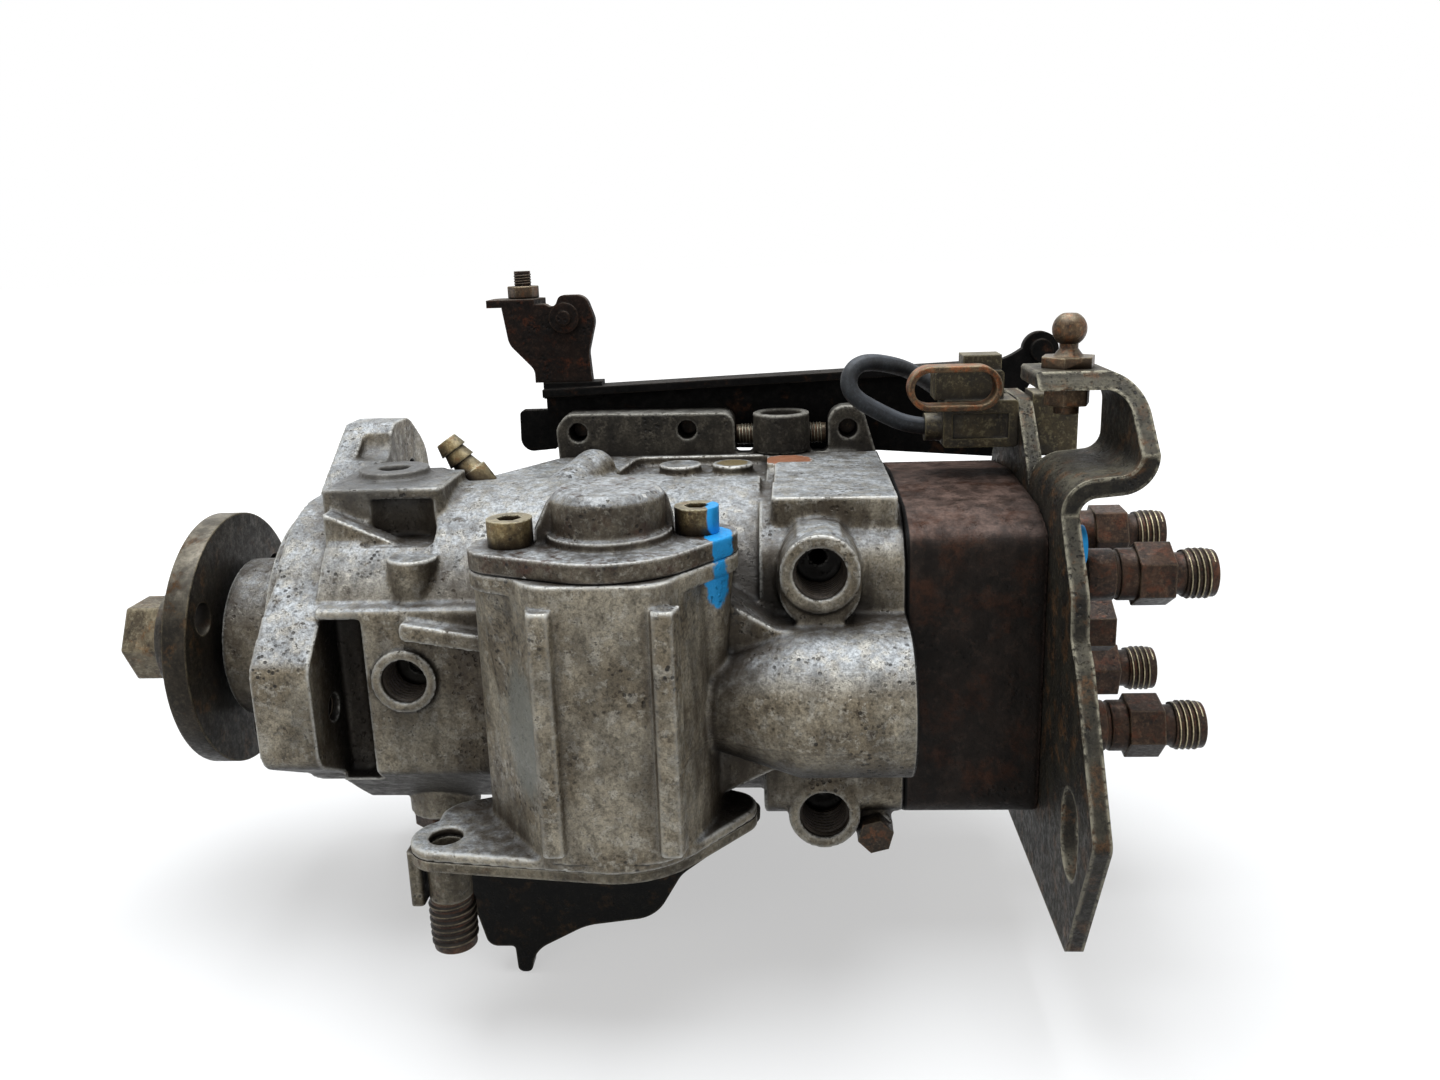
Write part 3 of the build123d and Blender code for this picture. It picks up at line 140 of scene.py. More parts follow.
for name, place, aim, size, power, colour in (
        ("lamp_above", (0.05, 0.00, 0.85), pump_middle, 0.8, 15.0, (0.94, 0.97, 1.0)),
        ("lamp_front", (-0.35, -0.85, 0.35), pump_middle, 0.5, 1.3, (1.0, 0.97, 0.92)),
        ("lamp_right", (0.85, -0.40, 0.30), (0.12, 0.0, 0.0), 0.4, 1.0, (1.0, 0.97, 0.92))):
    lamp = bpy.data.lights.new(name, "AREA")
    lamp.energy, lamp.size, lamp.color = power, size, colour
    holder = bpy.data.objects.new(name, lamp)
    holder.location = place
    holder.rotation_euler = (Vector(aim) - Vector(place)).to_track_quat("-Z", "Y").to_euler()
    bpy.context.scene.collection.objects.link(holder)

bpy.context.scene.view_settings.view_transform = "Standard"

# ---------------------------------------------------------------------------
# Pump housing. One aluminium casting with the flange, the governor side, the
# timing housing and the rear barrel. The skin is as cast, speckled grey, painted
# lighter on top with light from above, with brown-black grime and painted shade in
# the corners, pits, and edges rubbed bright and painted with highlights.

def coords(tree):
    """Position on the piece in the row frame, in millimetres."""
    place = add(tree, "TexCoord").outputs["Object"]
    return add(tree, "VectorMath", {0: place, "Scale": 1000.0}, operation="SCALE").outputs[0]


def noise(tree, at, size, detail=4.0, rough=0.6, stretch=None):
    """Cloudy value whose patches are about size millimetres across."""
    if stretch:
        at = add(tree, "VectorMath", {0: at, 1: stretch}, operation="MULTIPLY").outputs[0]
    return add(tree, "TexNoise", {"Vector": at, "Scale": 1 / size, "Detail": detail,
                                  "Roughness": rough}).outputs["Fac"]


def ramp(tree, value, low, high, to_low=0.0, to_high=1.0):
    return add(tree, "MapRange", {"Value": value, "From Min": low, "From Max": high,
                                  "To Min": to_low, "To Max": to_high},
               interpolation_type="SMOOTHSTEP").outputs[0]


def math(tree, operation, a, b=0.0):
    return add(tree, "Math", {0: a, 1: b}, operation=operation, use_clamp=True).outputs[0]


def mix(tree, factor, under, upper):
    """Colour upper laid over under by factor."""
    return add(tree, "Mix", {0: factor, 6: under, 7: upper}, data_type="RGBA").outputs[2]


def tint(r, g, b):
    """Shader colour from the 0-255 numbers of a colour chart."""
    return tuple(((v / 255 + 0.055) / 1.055) ** 2.4 for v in (r, g, b)) + (1.0,)


def dab(tree, at, centre, half, soft=0.07, most=1.0):
    """Mask with a ragged edge round a point, half its size along X, Y and Z."""
    away = add(tree, "VectorMath", {0: at, 1: centre}, operation="SUBTRACT").outputs[0]
    away = add(tree, "VectorMath", {0: away, 1: half}, operation="DIVIDE").outputs[0]
    far = add(tree, "VectorMath", {0: away}, operation="LENGTH").outputs["Value"]
    ragged = add(tree, "Math", {0: noise(tree, at, 2.2), 1: 0.5}, operation="MULTIPLY").outputs[0]
    edge = add(tree, "Math", {0: far, 1: ragged}, operation="ADD").outputs[0]
    return ramp(tree, edge, 1.23 + soft, 1.23 - soft, 0, most)


def weathered(name, tones, grime_and_shade, upper=None, speckle=0.45, rough=(0.5, 0.8), metal=0.2,
              mottle=12.0, relief=0.22, pits=0.5, wear_and_highlight=(170, 168, 160), wear_and_highlight_amount=0.8,
              wear_and_highlight_width=1.0, rust=None, rust_amount=0.5, shade_and_soil=0.8, corner=7.0, dabs=(),
              bands=(), ridge=None, shine=0.3, blotch=0.3, crust=0.5, moulded=False,
              stains=()):
    """Old metal, paint or plastic: mottled and speckled tones, painted lighter on upward faces
    with light from above and some dust, with muck and painted shade in corners and underneath,
    pits, rubbed edges painted bright as both rubbing and highlight, rust, dabs of paint and of
    painted shade, and dark seams. A moulded piece is painted bright on its bulges as rubbing
    and highlight and dark in its hollows as muck and painted shade; stains gather dark specks."""
    material = bpy.data.materials.new(name)
    material.use_nodes = True
    tree = material.node_tree
    tree.nodes.clear()
    at = coords(tree)
    geometry = add(tree, "NewGeometry").outputs
    facing = add(tree, "SeparateXYZ", {0: geometry["True Normal"]}).outputs[2]
    cloud = noise(tree, at, mottle, 6.0, 0.65)
    fine = noise(tree, at, mottle / 5, 5.0, 0.7)
    grain = noise(tree, at, 0.9, 4.0, 0.8)
    smudge = noise(tree, at, 6.0, 5.0, 0.7, (1.0, 1.0, 0.55))
    colour = mix(tree, ramp(tree, cloud, 0.40, 0.60), tint(*tones[0]), tint(*tones[1]))
    colour = mix(tree, ramp(tree, fine, 0.52, 0.60, 0, 0.8), colour, tint(*tones[2]))
    # Upward faces painted lighter: painted light from above, with some dust
    if upper:
        top_light_and_dust = math(tree, "MULTIPLY", ramp(tree, facing, 0.35, 0.85),
                     ramp(tree, fine, 0.66, 0.42, 0.35, 1.0))
        colour = mix(tree, top_light_and_dust, colour, tint(*upper))
    if rust:
        patch = math(tree, "MULTIPLY", ramp(tree, noise(tree, at, mottle * 0.7, 8.0, 0.7),
                                            0.64 - 0.3 * rust_amount, 0.72 - 0.2 * rust_amount),
                     ramp(tree, fine, 0.3, 0.6))
        colour = mix(tree, patch, colour, tint(*rust))
    light = add(tree, "MapRange", {"Value": grain, "From Min": 0.36, "From Max": 0.64,
                                   "To Min": 1 - speckle, "To Max": 1 + speckle}).outputs[0]
    stain = ramp(tree, smudge, 0.42, 0.62, 1.08, 1 - 1.6 * blotch)
    light = add(tree, "Math", {0: light, 1: stain}, operation="MULTIPLY").outputs[0]
    colour = add(tree, "HueSaturation", {"Value": light, "Color": colour}).outputs[0]
    # Pits hold black dirt
    pit = ramp(tree, add(tree, "TexVoronoi", {"Vector": at, "Scale": 0.6,
                                              "Randomness": 1.0}).outputs["Distance"],
               0.34, 0.18)
    pit = math(tree, "MULTIPLY", pit, ramp(tree, cloud, 0.46, 0.64, 0, pits))
    spots = math(tree, "MULTIPLY", ramp(tree, grain, 0.56, 0.66), ramp(tree, fine, 0.44, 0.62))
    spots = math(tree, "MULTIPLY", spots, pits)
    hollow = math(tree, "MAXIMUM", pit, spots)
    flake = noise(tree, at, 3.2, 8.0, 0.8)
    flake = math(tree, "MULTIPLY", ramp(tree, flake, 0.57, 0.61), ramp(tree, cloud, 0.46, 0.56))
    colour = mix(tree, math(tree, "MULTIPLY", flake, crust), colour, tint(*grime_and_shade[0]))
    colour = mix(tree, hollow, colour, tint(*grime_and_shade[1]))
    # Painted shade with grime where faces meet (ambient occlusion), painted shade underneath, and
    # grime in runs down the sides
    shade = add(tree, "AmbientOcclusion", {"Distance": corner * MM}, samples=6).outputs["AO"]
    run = noise(tree, at, 3.5, 4.0, 0.6, (1.0, 1.0, 0.28))
    corner_shade_and_runs = add(tree, "Math", {0: shade, 1: add(tree, "Math", {0: run, 1: 0.9},
                                              operation="MULTIPLY").outputs[0]},
               operation="ADD").outputs[0]
    corner_shade_and_runs = math(tree, "MULTIPLY", ramp(tree, corner_shade_and_runs, 1.50, 0.95), shade_and_soil)
    colour = mix(tree, corner_shade_and_runs, colour, tint(*grime_and_shade[0]))
    # Painted shade: near black in deep corners and on faces turned downwards
    deep_and_under_shade = math(tree, "MAXIMUM", ramp(tree, shade, 0.66, 0.25), ramp(tree, facing, -0.3, -0.8))
    colour = mix(tree, math(tree, "MULTIPLY", deep_and_under_shade, shade_and_soil), colour, tint(*grime_and_shade[1]))
    # Edges rubbed bright and painted with highlights: there the rounded normal leaves the true one
    soft = add(tree, "Bevel", {"Radius": wear_and_highlight_width * MM}, samples=4).outputs["Normal"]
    match = add(tree, "VectorMath", {0: geometry["Normal"], 1: soft},
                operation="DOT_PRODUCT").outputs["Value"]
    rub_and_highlight = math(tree, "MULTIPLY", ramp(tree, match, 0.992, 0.90), ramp(tree, fine, 0.62, 0.44))
    rub_and_highlight = math(tree, "MULTIPLY", rub_and_highlight, ramp(tree, shade, 0.62, 0.9, 0, wear_and_highlight_amount))
    # Moulded pieces: bulges painted bright as wear and painted highlight, hollows painted dark as
    # grime and painted shade
    if moulded:
        bend = geometry["Pointiness"]
        bulge_wear_and_highlight = math(tree, "MULTIPLY", ramp(tree, bend, 0.515, 0.56), ramp(tree, grain, 0.62, 0.46))
        rub_and_highlight = math(tree, "MAXIMUM", rub_and_highlight, math(tree, "MULTIPLY", bulge_wear_and_highlight, wear_and_highlight_amount))
        colour = mix(tree, ramp(tree, bend, 0.485, 0.44, 0, 0.9), colour, tint(*grime_and_shade[1]))
    colour = mix(tree, rub_and_highlight, colour, tint(*wear_and_highlight))
    for axis, place, half in bands:
        value = add(tree, "SeparateXYZ", {0: at}).outputs["xyz".index(axis)]
        gap = add(tree, "Math", {0: value, 1: place}, operation="SUBTRACT").outputs[0]
        gap = add(tree, "Math", {0: gap}, operation="ABSOLUTE").outputs[0]
        colour = mix(tree, ramp(tree, gap, half, half * 0.6), colour, tint(*grime_and_shade[1]))
    crumbs = ramp(tree, noise(tree, at, 1.5, 6.0, 0.75), 0.51, 0.56)
    for centre, half in stains:
        patch = math(tree, "MULTIPLY", dab(tree, at, centre, half, 0.45), crumbs)
        colour = mix(tree, patch, colour, tint(*grime_and_shade[1]))
    # Dabs of colour: marking paint, and patches of painted shade
    for centre, half, paint, *blend in dabs:
        colour = mix(tree, dab(tree, at, centre, half, *blend), colour, tint(*paint))
    gloss = ramp(tree, fine, 0.3, 0.7, rough[1], rough[0])
    # Cast or rusty skin as relief
    height = add(tree, "Math", {0: grain, 1: 0.5}, operation="MULTIPLY").outputs[0]
    height = add(tree, "Math", {0: height, 1: hollow}, operation="SUBTRACT").outputs[0]
    height = add(tree, "Math", {0: height, 1: noise(tree, at, 4.0, 3.0, 0.5)},
                 operation="ADD").outputs[0]
    if ridge:
        height = add(tree, "Math", {0: height, 1: ridge(tree, at)}, operation="ADD").outputs[0]
    skin = add(tree, "Bump", {"Height": height, "Strength": 1.0, "Distance": relief * MM,
                              "Normal": soft})
    surface = add(tree, "BsdfPrincipled", {"Base Color": colour, "Roughness": gloss,
                                           "Metallic": metal, "Specular IOR Level": shine,
                                           "Normal": skin.outputs[0]})
    add(tree, "OutputMaterial", {"Surface": surface.outputs[0]})
    return material


def dress(name, finish, edge=0.35):
    """Gives a carried-over CAD piece its finish and slightly broken edges."""
    piece = nodes[name]
    piece.data.materials.clear()
    piece.data.materials.append(finish)
    if edge:
        weld = piece.modifiers.new("weld", "WELD")
        weld.merge_threshold = 0.002 * MM
        bevel = piece.modifiers.new("edges", "BEVEL")
        bevel.width, bevel.segments, bevel.limit_method = edge * MM, 2, "ANGLE"
        bevel.angle_limit, bevel.harden_normals = radians(35), False
    return piece


def cast_skin(name, finish, cell=0.6, passes=2):
    """A casting: every edge and corner of the piece drawn over into a small fillet."""
    piece = dress(name, finish, edge=0)
    skin = piece.modifiers.new("skin", "REMESH")
    skin.mode, skin.voxel_size, skin.use_smooth_shade = "VOXEL", cell * MM, True
    round_off = piece.modifiers.new("fillets", "SMOOTH")
    round_off.factor, round_off.iterations = 0.5, passes


def mould_line(tree, at):
    """Fine ridge along the rear barrel where the mould halves met."""
    x, y, z = (add(tree, "SeparateXYZ", {0: at}).outputs[i] for i in range(3))
    wave = add(tree, "Math", {0: z, 1: add(tree, "Math", {0: noise(tree, at, 9.0), 1: 3.0},
                                           operation="MULTIPLY").outputs[0]},
               operation="ADD").outputs[0]
    off = add(tree, "Math", {0: wave, 1: 3.5}, operation="ADD").outputs[0]
    off = add(tree, "Math", {0: off}, operation="ABSOLUTE").outputs[0]
    line = math(tree, "MULTIPLY", ramp(tree, off, 0.8, 0.2), ramp(tree, x, 101, 105))
    return math(tree, "MULTIPLY", line, ramp(tree, y, -48, -54))


blue_paint = (28, 142, 205)
casting = weathered(
    "cast_aluminium", tones=[(138, 131, 116), (108, 99, 83), (160, 155, 143)],
    grime_and_shade=[(50, 41, 30), (14, 12, 10)], upper=(138, 141, 143), speckle=0.55, blotch=0.2,
    rough=(0.32, 0.60), metal=0.3, mottle=15.0, relief=0.30, pits=0.9, crust=0.85,
    wear_and_highlight=(204, 203, 197), wear_and_highlight_width=1.3, shade_and_soil=0.95, corner=20.0, moulded=True,
    dabs=[((112.8, -57.0, 34.0), (3.0, 7.0, 9.0), blue_paint),
          ((129.5, 26.0, 42.6), (7.0, 7.0, 2.0), (128, 84, 60)),
          ((72.0, -70.0, 2.0), (6.0, 12.0, 17.0), (108, 110, 104), 0.2, 0.8),
          # Painted shade on the wall between the flange and the timing housing
          ((37.0, -36.0, -6.0), (13.0, 8.0, 24.0), (44, 41, 34), 0.5, 0.75),
          ((22.0, 0.0, 47.0), (18.0, 32.0, 9.0), (58, 57, 56), 0.5, 0.75),
          ((113.4, 31.2, 41.0), (4.6, 4.6, 2.0), (104, 92, 66))],
    stains=[((87.0, -69.0, 27.0), (23.0, 9.0, 8.0)), ((76.0, -66.0, 20.0), (6.0, 9.0, 9.0)),
            ((112.0, -48.0, 24.0), (8.0, 8.0, 8.0)), ((146.0, -52.0, -5.0), (7.0, 12.0, 3.5)),
            ((134.0, -46.0, 8.0), (8.0, 8.0, 4.0)), ((8.0, -40.0, -6.0), (7.0, 12.0, 8.0))],
    bands=[("x", 156.8, 0.5)], ridge=mould_line)
cast_skin("housing", casting)

# ---------------------------------------------------------------------------
# Tapped ports of the housing. Each thread is a real helical ridge, cut in the
# aluminium and dark with old fuel; the crests are bare metal.

def two_tone(name, bright, dull, rough=0.42):
    """Crest and flank of a cut thread, each a speckled metal."""
    pair = []
    for part, tone, metal in (("crest", bright, 0.6), ("flank", dull, 0.4)):
        pair.append(weathered(f"{name}_{part}", tones=[tone, tuple(int(v * 0.8) for v in tone), tone],
                              grime_and_shade=[(40, 33, 26), (16, 14, 12)], speckle=0.3, metal=metal,
                              rough=(rough - 0.1, rough + 0.2), mottle=3.0, relief=0.04, pits=0.3,
                              wear_and_highlight=bright, wear_and_highlight_amount=0.3, wear_and_highlight_width=0.2, shade_and_soil=0.5, corner=1.2))
    return pair


def thread(name, start, end, root, crest, pitch, finish):
    """Helical ridge between two points on an axis, fading in and out over half a turn.
    A crest smaller than the root makes the thread of a hole."""
    start, end = Vector(start), Vector(end)
    along = (end - start).normalized()
    across = along.orthogonal().normalized()
    beyond = along.cross(across)
    around = 24
    foot, tip = 0.40, 0.09      # half widths of the ridge, in pitches
    steps = int(((end - start).length / pitch - 1) * around)
    coil = bmesh.new()
    rings = []
    for i in range(steps + 1):
        out = across * cos(tau * i / around) + beyond * sin(tau * i / around)
        middle = start + along * pitch * (0.5 + i / around)
        rise = root + (crest - root) * max(0.02, min(1, 2 * i / around, 2 * (steps - i) / around))
        rings.append([coil.verts.new((middle + along * pitch * shift + out * r) * MM)
                      for shift, r in ((-foot, root), (-tip, rise), (tip, rise), (foot, root))])
    for low, high in zip(rings, rings[1:]):
        for k in range(4):
            face = coil.faces.new((low[k], high[k], high[(k + 1) % 4], low[(k + 1) % 4]))
            face.material_index = 0 if k == 1 else 1
    coil.faces.new(rings[0][::-1])
    coil.faces.new(rings[-1])
    bmesh.ops.recalc_face_normals(coil, faces=coil.faces)
    shape = bpy.data.meshes.new(name)
    coil.to_mesh(shape)
    coil.free()
    for part in finish:
        shape.materials.append(part)
    piece = bpy.data.objects.new(name, shape)
    bpy.context.scene.collection.objects.link(piece)
    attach(piece, "pump")


port_thread = two_tone("port_thread", (118, 106, 90), (44, 37, 30))
port_pitch, thread_height, lead_in, sunk = 1.5, 0.6, 0.6, 0.05
for name, x, z, radius, face_y, depth in (
        ("inlet_thread", 34.8, 2.9, 5.6, -44.6, 12.5),
        ("upper_port_thread", 136.2, 30.2, 6.2, -50, 14),
        ("lower_port_thread", 137.1, -35.6, 6.2, -40.5, 15)):
    thread(name, (x, face_y + lead_in, z), (x, face_y + depth, z), radius + sunk,
           radius - thread_height, port_pitch, port_thread)
thread("flange_hole_thread", (0.4, -38.65, -5.8), (14.0, -38.65, -5.8), 3.45, 3.0, 1.0,
       port_thread)

# ---------------------------------------------------------------------------
# Drive shaft, its seal and bush. Hardened steel, ground where it runs and
# oiled; the hub sits on its taper, and the lip seal is black rubber.

oiled_steel = weathered(
    "oiled_steel", tones=[(122, 120, 116), (104, 102, 98), (138, 136, 132)],
    grime_and_shade=[(60, 54, 46), (34, 30, 26)], speckle=0.12, rough=(0.25, 0.45), metal=0.7, mottle=8.0,
    relief=0.04, pits=0.15, wear_and_highlight=(168, 166, 162), shade_and_soil=0.4, corner=3.0)
dress("drive_shaft", oiled_steel)
seal_rubber = weathered(
    "seal_rubber", tones=[(34, 33, 32), (27, 26, 25), (42, 41, 39)],
    grime_and_shade=[(24, 21, 19), (13, 12, 11)], speckle=0.15, rough=(0.5, 0.7), metal=0.0, mottle=6.0,
    relief=0.05, pits=0.1, wear_and_highlight=(60, 58, 55), shade_and_soil=0.5, corner=2.0)
dress("shaft_seal", seal_rubber, 0)
bearing_bronze = weathered(
    "bearing_bronze", tones=[(150, 118, 72), (132, 102, 62), (166, 134, 88)],
    grime_and_shade=[(66, 50, 32), (36, 28, 20)], speckle=0.12, rough=(0.3, 0.5), metal=0.7, mottle=8.0,
    relief=0.04, pits=0.1, wear_and_highlight=(188, 158, 108), shade_and_soil=0.4, corner=2.0)
dress("shaft_bush", bearing_bronze, 0)

# ---------------------------------------------------------------------------
# Drive hub. Turned steel pulled on to the shaft's taper, with three threaded
# holes for the drive gear. Nearly black with oil, with faint rust.

hub_steel = weathered(
    "hub_steel", tones=[(46, 41, 34), (38, 34, 28), (54, 48, 38)],
    grime_and_shade=[(32, 27, 22), (15, 13, 11)], upper=(118, 112, 100), speckle=0.28, rough=(0.34, 0.6),
    metal=0.3, mottle=9.0, relief=0.06, pits=0.2, crust=0.1, wear_and_highlight=(120, 110, 88), wear_and_highlight_width=0.9,
    rust=(80, 58, 36), rust_amount=0.4, shade_and_soil=0.85, corner=9.0, shine=0.15)
dress("drive_hub", hub_steel, 0.5)

# ---------------------------------------------------------------------------
# Nut of the drive hub. A hexagon of plated steel; the plating has worn to a
# dull brass colour with brown stains.

nut_steel = weathered(
    "nut_steel", tones=[(108, 99, 80), (88, 78, 62), (126, 118, 98)],
    grime_and_shade=[(58, 47, 34), (28, 23, 19)], speckle=0.25, rough=(0.32, 0.58), metal=0.5, mottle=6.0,
    relief=0.08, pits=0.6, wear_and_highlight=(188, 180, 156), wear_and_highlight_width=0.7, rust=(104, 78, 50),
    rust_amount=0.35, shade_and_soil=0.6, corner=4.0)
dress("shaft_nut", nut_steel, 0.6)

# ---------------------------------------------------------------------------
# Feed pump. A steel rotor with four vanes in an eccentric ring, closed by a
# plate; ground faces, wet with fuel.

for name in ("pump_ring", "pump_rotor", "pump_vanes", "pump_plate"):
    dress(name, oiled_steel, 0)

# ---------------------------------------------------------------------------
# Centrifugal governor. Cut steel gears, a pressed cage with four flyweights,
# the sleeve they push, and the lever with its spring.

for name in ("governor_drive_gear", "governor_shaft", "governor_cage", "flyweights",
             "governor_sleeve", "governor_lever", "governor_spring"):
    dress(name, oiled_steel, 0)

# ---------------------------------------------------------------------------
# Cam, plunger and barrel. The cam plate runs over four rollers and drives the
# lapped plunger against two springs; all hardened and bright with fuel.

for name in ("roller_ring", "cam_rollers", "cam_plate", "plunger", "plunger_springs",
             "control_collar", "barrel"):
    dress(name, oiled_steel, 0)

# ---------------------------------------------------------------------------
# Hydraulic head. A machined steel block on the rear joint face, rusted purple
# brown, nearly black with oil on the side, with its rounded top edge painted
# paler as a highlight.

head_iron = weathered(
    "rusty_head", tones=[(38, 31, 27), (26, 22, 19), (50, 40, 34)], moulded=True, crust=0.3,
    grime_and_shade=[(18, 15, 13), (10, 9, 8)], upper=(86, 70, 63), speckle=0.30, rough=(0.36, 0.62),
    metal=0.1, mottle=20.0, relief=0.22, pits=0.5, wear_and_highlight=(100, 84, 76), wear_and_highlight_amount=0.6,
    wear_and_highlight_width=2.0, rust=(60, 38, 27), rust_amount=0.45, shade_and_soil=0.6, corner=9.0, shine=0.12,
    bands=[("x", 157.3, 0.5)])
cast_skin("hydraulic_head", head_iron)

# ---------------------------------------------------------------------------
# Cap screws of the head. Black steel, rusted, with a dab of marking paint on
# one of them.

head_screw_steel = weathered(
    "head_screw_steel", tones=[(60, 50, 40), (44, 37, 30), (78, 66, 52)],
    grime_and_shade=[(30, 25, 20), (14, 12, 11)], speckle=0.3, rough=(0.35, 0.65), metal=0.4, mottle=4.0,
    relief=0.1, pits=0.6, wear_and_highlight=(120, 108, 88), wear_and_highlight_width=0.6, rust=(94, 60, 38),
    rust_amount=0.5, shade_and_soil=0.8, corner=3.0,
    dabs=[((199.0, -31.0, 31.0), (6.5, 6.0, 6.0), blue_paint)])
dress("head_screws", head_screw_steel, 0.3)

# ---------------------------------------------------------------------------
# Plug in the middle of the head. A turned steel plug with a hexagon, sealed
# on a washer and brown with old rust.

union_steel = weathered(
    "union_steel", tones=[(66, 48, 37), (46, 35, 28), (88, 68, 52)],
    grime_and_shade=[(28, 21, 16), (12, 10, 9)], speckle=0.4, rough=(0.30, 0.55), metal=0.3, mottle=5.0,
    relief=0.08, pits=0.8, wear_and_highlight=(140, 122, 98), wear_and_highlight_width=0.6, rust=(84, 48, 31),
    rust_amount=0.5, shade_and_soil=0.9, corner=5.0, shine=0.2)
dress("centre_plug", union_steel)

# ---------------------------------------------------------------------------
# Outlet unions. Turned steel, red-brown on the hexagons and bodies, with M12
# nipples whose rolled threads have stayed bright.

dress("delivery_holders", union_steel)
nipple_thread = two_tone("nipple_thread", (182, 170, 138), (58, 47, 36), 0.32)
spread, nipple_foot, nipple_end = 20.5, 226.9, 234.9
corners = [(y, z) for y in (-spread, spread) for z in (-spread, spread)]
for index, (y, z) in enumerate(corners):
    thread(f"nipple_thread_{index}", (nipple_foot, y, z), (nipple_end, y, z), 5.95, 6.42, 1.5,
           nipple_thread)
for name in ("delivery_valves", "delivery_springs"):
    dress(name, oiled_steel, 0)

# ---------------------------------------------------------------------------
# Rear bracket. Thick pressed steel bent out and back over at the top, pitted
# all over, black-olive, with its cut edges and corners worn bright.

bracket_steel = weathered(
    "pitted_bracket", tones=[(38, 35, 28), (25, 23, 19), (52, 48, 39)],
    grime_and_shade=[(22, 19, 15), (11, 10, 9)], upper=(76, 72, 60), speckle=0.55, rough=(0.38, 0.68),
    shine=0.2, metal=0.2, crust=0.8, mottle=9.0, relief=0.28, pits=1.0,
    wear_and_highlight=(176, 170, 150), wear_and_highlight_width=1.5, wear_and_highlight_amount=1.0, rust=(84, 60, 38),
    rust_amount=0.45, shade_and_soil=0.5, corner=6.0)
dress("rear_bracket", bracket_steel, 0.6)

# ---------------------------------------------------------------------------
# Ball stud with the nut under it, and the two nuts of the clamp. Turned
# steel, brown with rust, the ball polished by its socket.

stud_steel = weathered(
    "stud_steel", tones=[(82, 65, 47), (60, 47, 35), (104, 86, 64)],
    grime_and_shade=[(36, 28, 20), (17, 14, 12)], upper=(118, 108, 90), speckle=0.28, rough=(0.3, 0.55),
    metal=0.5, mottle=4.0, relief=0.08, pits=0.6, wear_and_highlight=(164, 150, 122), wear_and_highlight_width=0.5,
    rust=(112, 70, 40), rust_amount=0.5, shade_and_soil=0.7, corner=3.0)
dress("ball_stud", stud_steel)
dress("lock_nuts", stud_steel)

# ---------------------------------------------------------------------------
# Upper cover of the timing device. Cast aluminium with a dome over the spring
# and a web to each screw; painted lighter on top with light from above, black in
# the corners with grime and painted shade.

cover_cast = weathered(
    "timing_cover_cast", tones=[(104, 97, 84), (70, 62, 51), (132, 127, 115)],
    grime_and_shade=[(42, 34, 25), (15, 13, 11)], upper=(143, 146, 148), speckle=0.45, rough=(0.34, 0.62),
    metal=0.3, mottle=8.0, relief=0.2, pits=0.9, wear_and_highlight=(196, 195, 190), wear_and_highlight_width=1.1,
    rust=(58, 36, 24), rust_amount=0.5, shade_and_soil=0.95, corner=9.0, crust=0.9, blotch=0.2,
    moulded=True,
    dabs=[((113.6, -57.0, 40.0), (3.2, 7.0, 7.0), blue_paint)], bands=[("z", 37.6, 0.4)])
cast_skin("timing_top_cover", cover_cast, cell=0.4)

# ---------------------------------------------------------------------------
# Cap screws of the timing cover and the governor cover. Yellow zinc over
# steel, stained olive and brown, with dark hexagon sockets.

zinc = weathered(
    "yellow_zinc", tones=[(116, 101, 70), (90, 76, 51), (136, 124, 92)],
    grime_and_shade=[(46, 36, 25), (18, 15, 12)], upper=(134, 126, 104), speckle=0.3, rough=(0.3, 0.55),
    metal=0.5, mottle=4.0, relief=0.07, pits=0.7, wear_and_highlight=(204, 196, 168), wear_and_highlight_width=0.6,
    rust=(104, 74, 42), rust_amount=0.35, shade_and_soil=0.95, corner=4.0,
    dabs=[((113.2, -54.5, 46.0), (2.6, 6.0, 5.0), blue_paint)])
dress("timing_top_screws", zinc, 0.3)
dress("cover_screws", head_screw_steel, 0.3)

# ---------------------------------------------------------------------------
# Lower cover of the timing device with its tab and stud. Pressed steel, wet
# with oil; the stud's thread is bright where a nut has run.

cover_plate = weathered(
    "cover_plate", tones=[(108, 101, 86), (78, 71, 58), (128, 122, 108)],
    grime_and_shade=[(46, 39, 30), (18, 16, 13)], upper=(118, 117, 112), speckle=0.38, rough=(0.36, 0.62),
    metal=0.35, mottle=8.0, relief=0.16, pits=0.8, wear_and_highlight=(176, 172, 160), wear_and_highlight_width=0.9,
    rust=(84, 60, 40), rust_amount=0.3, shade_and_soil=0.8, corner=5.0)
dress("timing_low_cover", cover_plate)
dress("tab_stud", union_steel)
stud_thread = two_tone("stud_thread", (96, 87, 71), (30, 25, 20))
thread("stud_thread", (49.0, -67.0, -54.0), (49.0, -67.0, -40.8), 4.95, 5.5, 1.9, stud_thread)

# ---------------------------------------------------------------------------
# Timing piston with its pin and spring. An aluminium piston with an anodised
# skin slides across the housing and turns the roller ring through the pin.

piston_skin = weathered(
    "piston_skin", tones=[(140, 140, 136), (126, 126, 122), (152, 152, 148)],
    grime_and_shade=[(70, 64, 56), (40, 36, 31)], speckle=0.12, rough=(0.3, 0.5), metal=0.5, mottle=9.0,
    relief=0.04, pits=0.2, wear_and_highlight=(176, 176, 172), shade_and_soil=0.4, corner=3.0)
dress("timing_piston", piston_skin, 0)
for name in ("timing_pin", "timing_spring"):
    dress(name, oiled_steel, 0)

# ---------------------------------------------------------------------------
# Bracket under the timing device. Sheet steel cut to a curved outline, shiny
# with wet oil, black with oil and with painted shade.

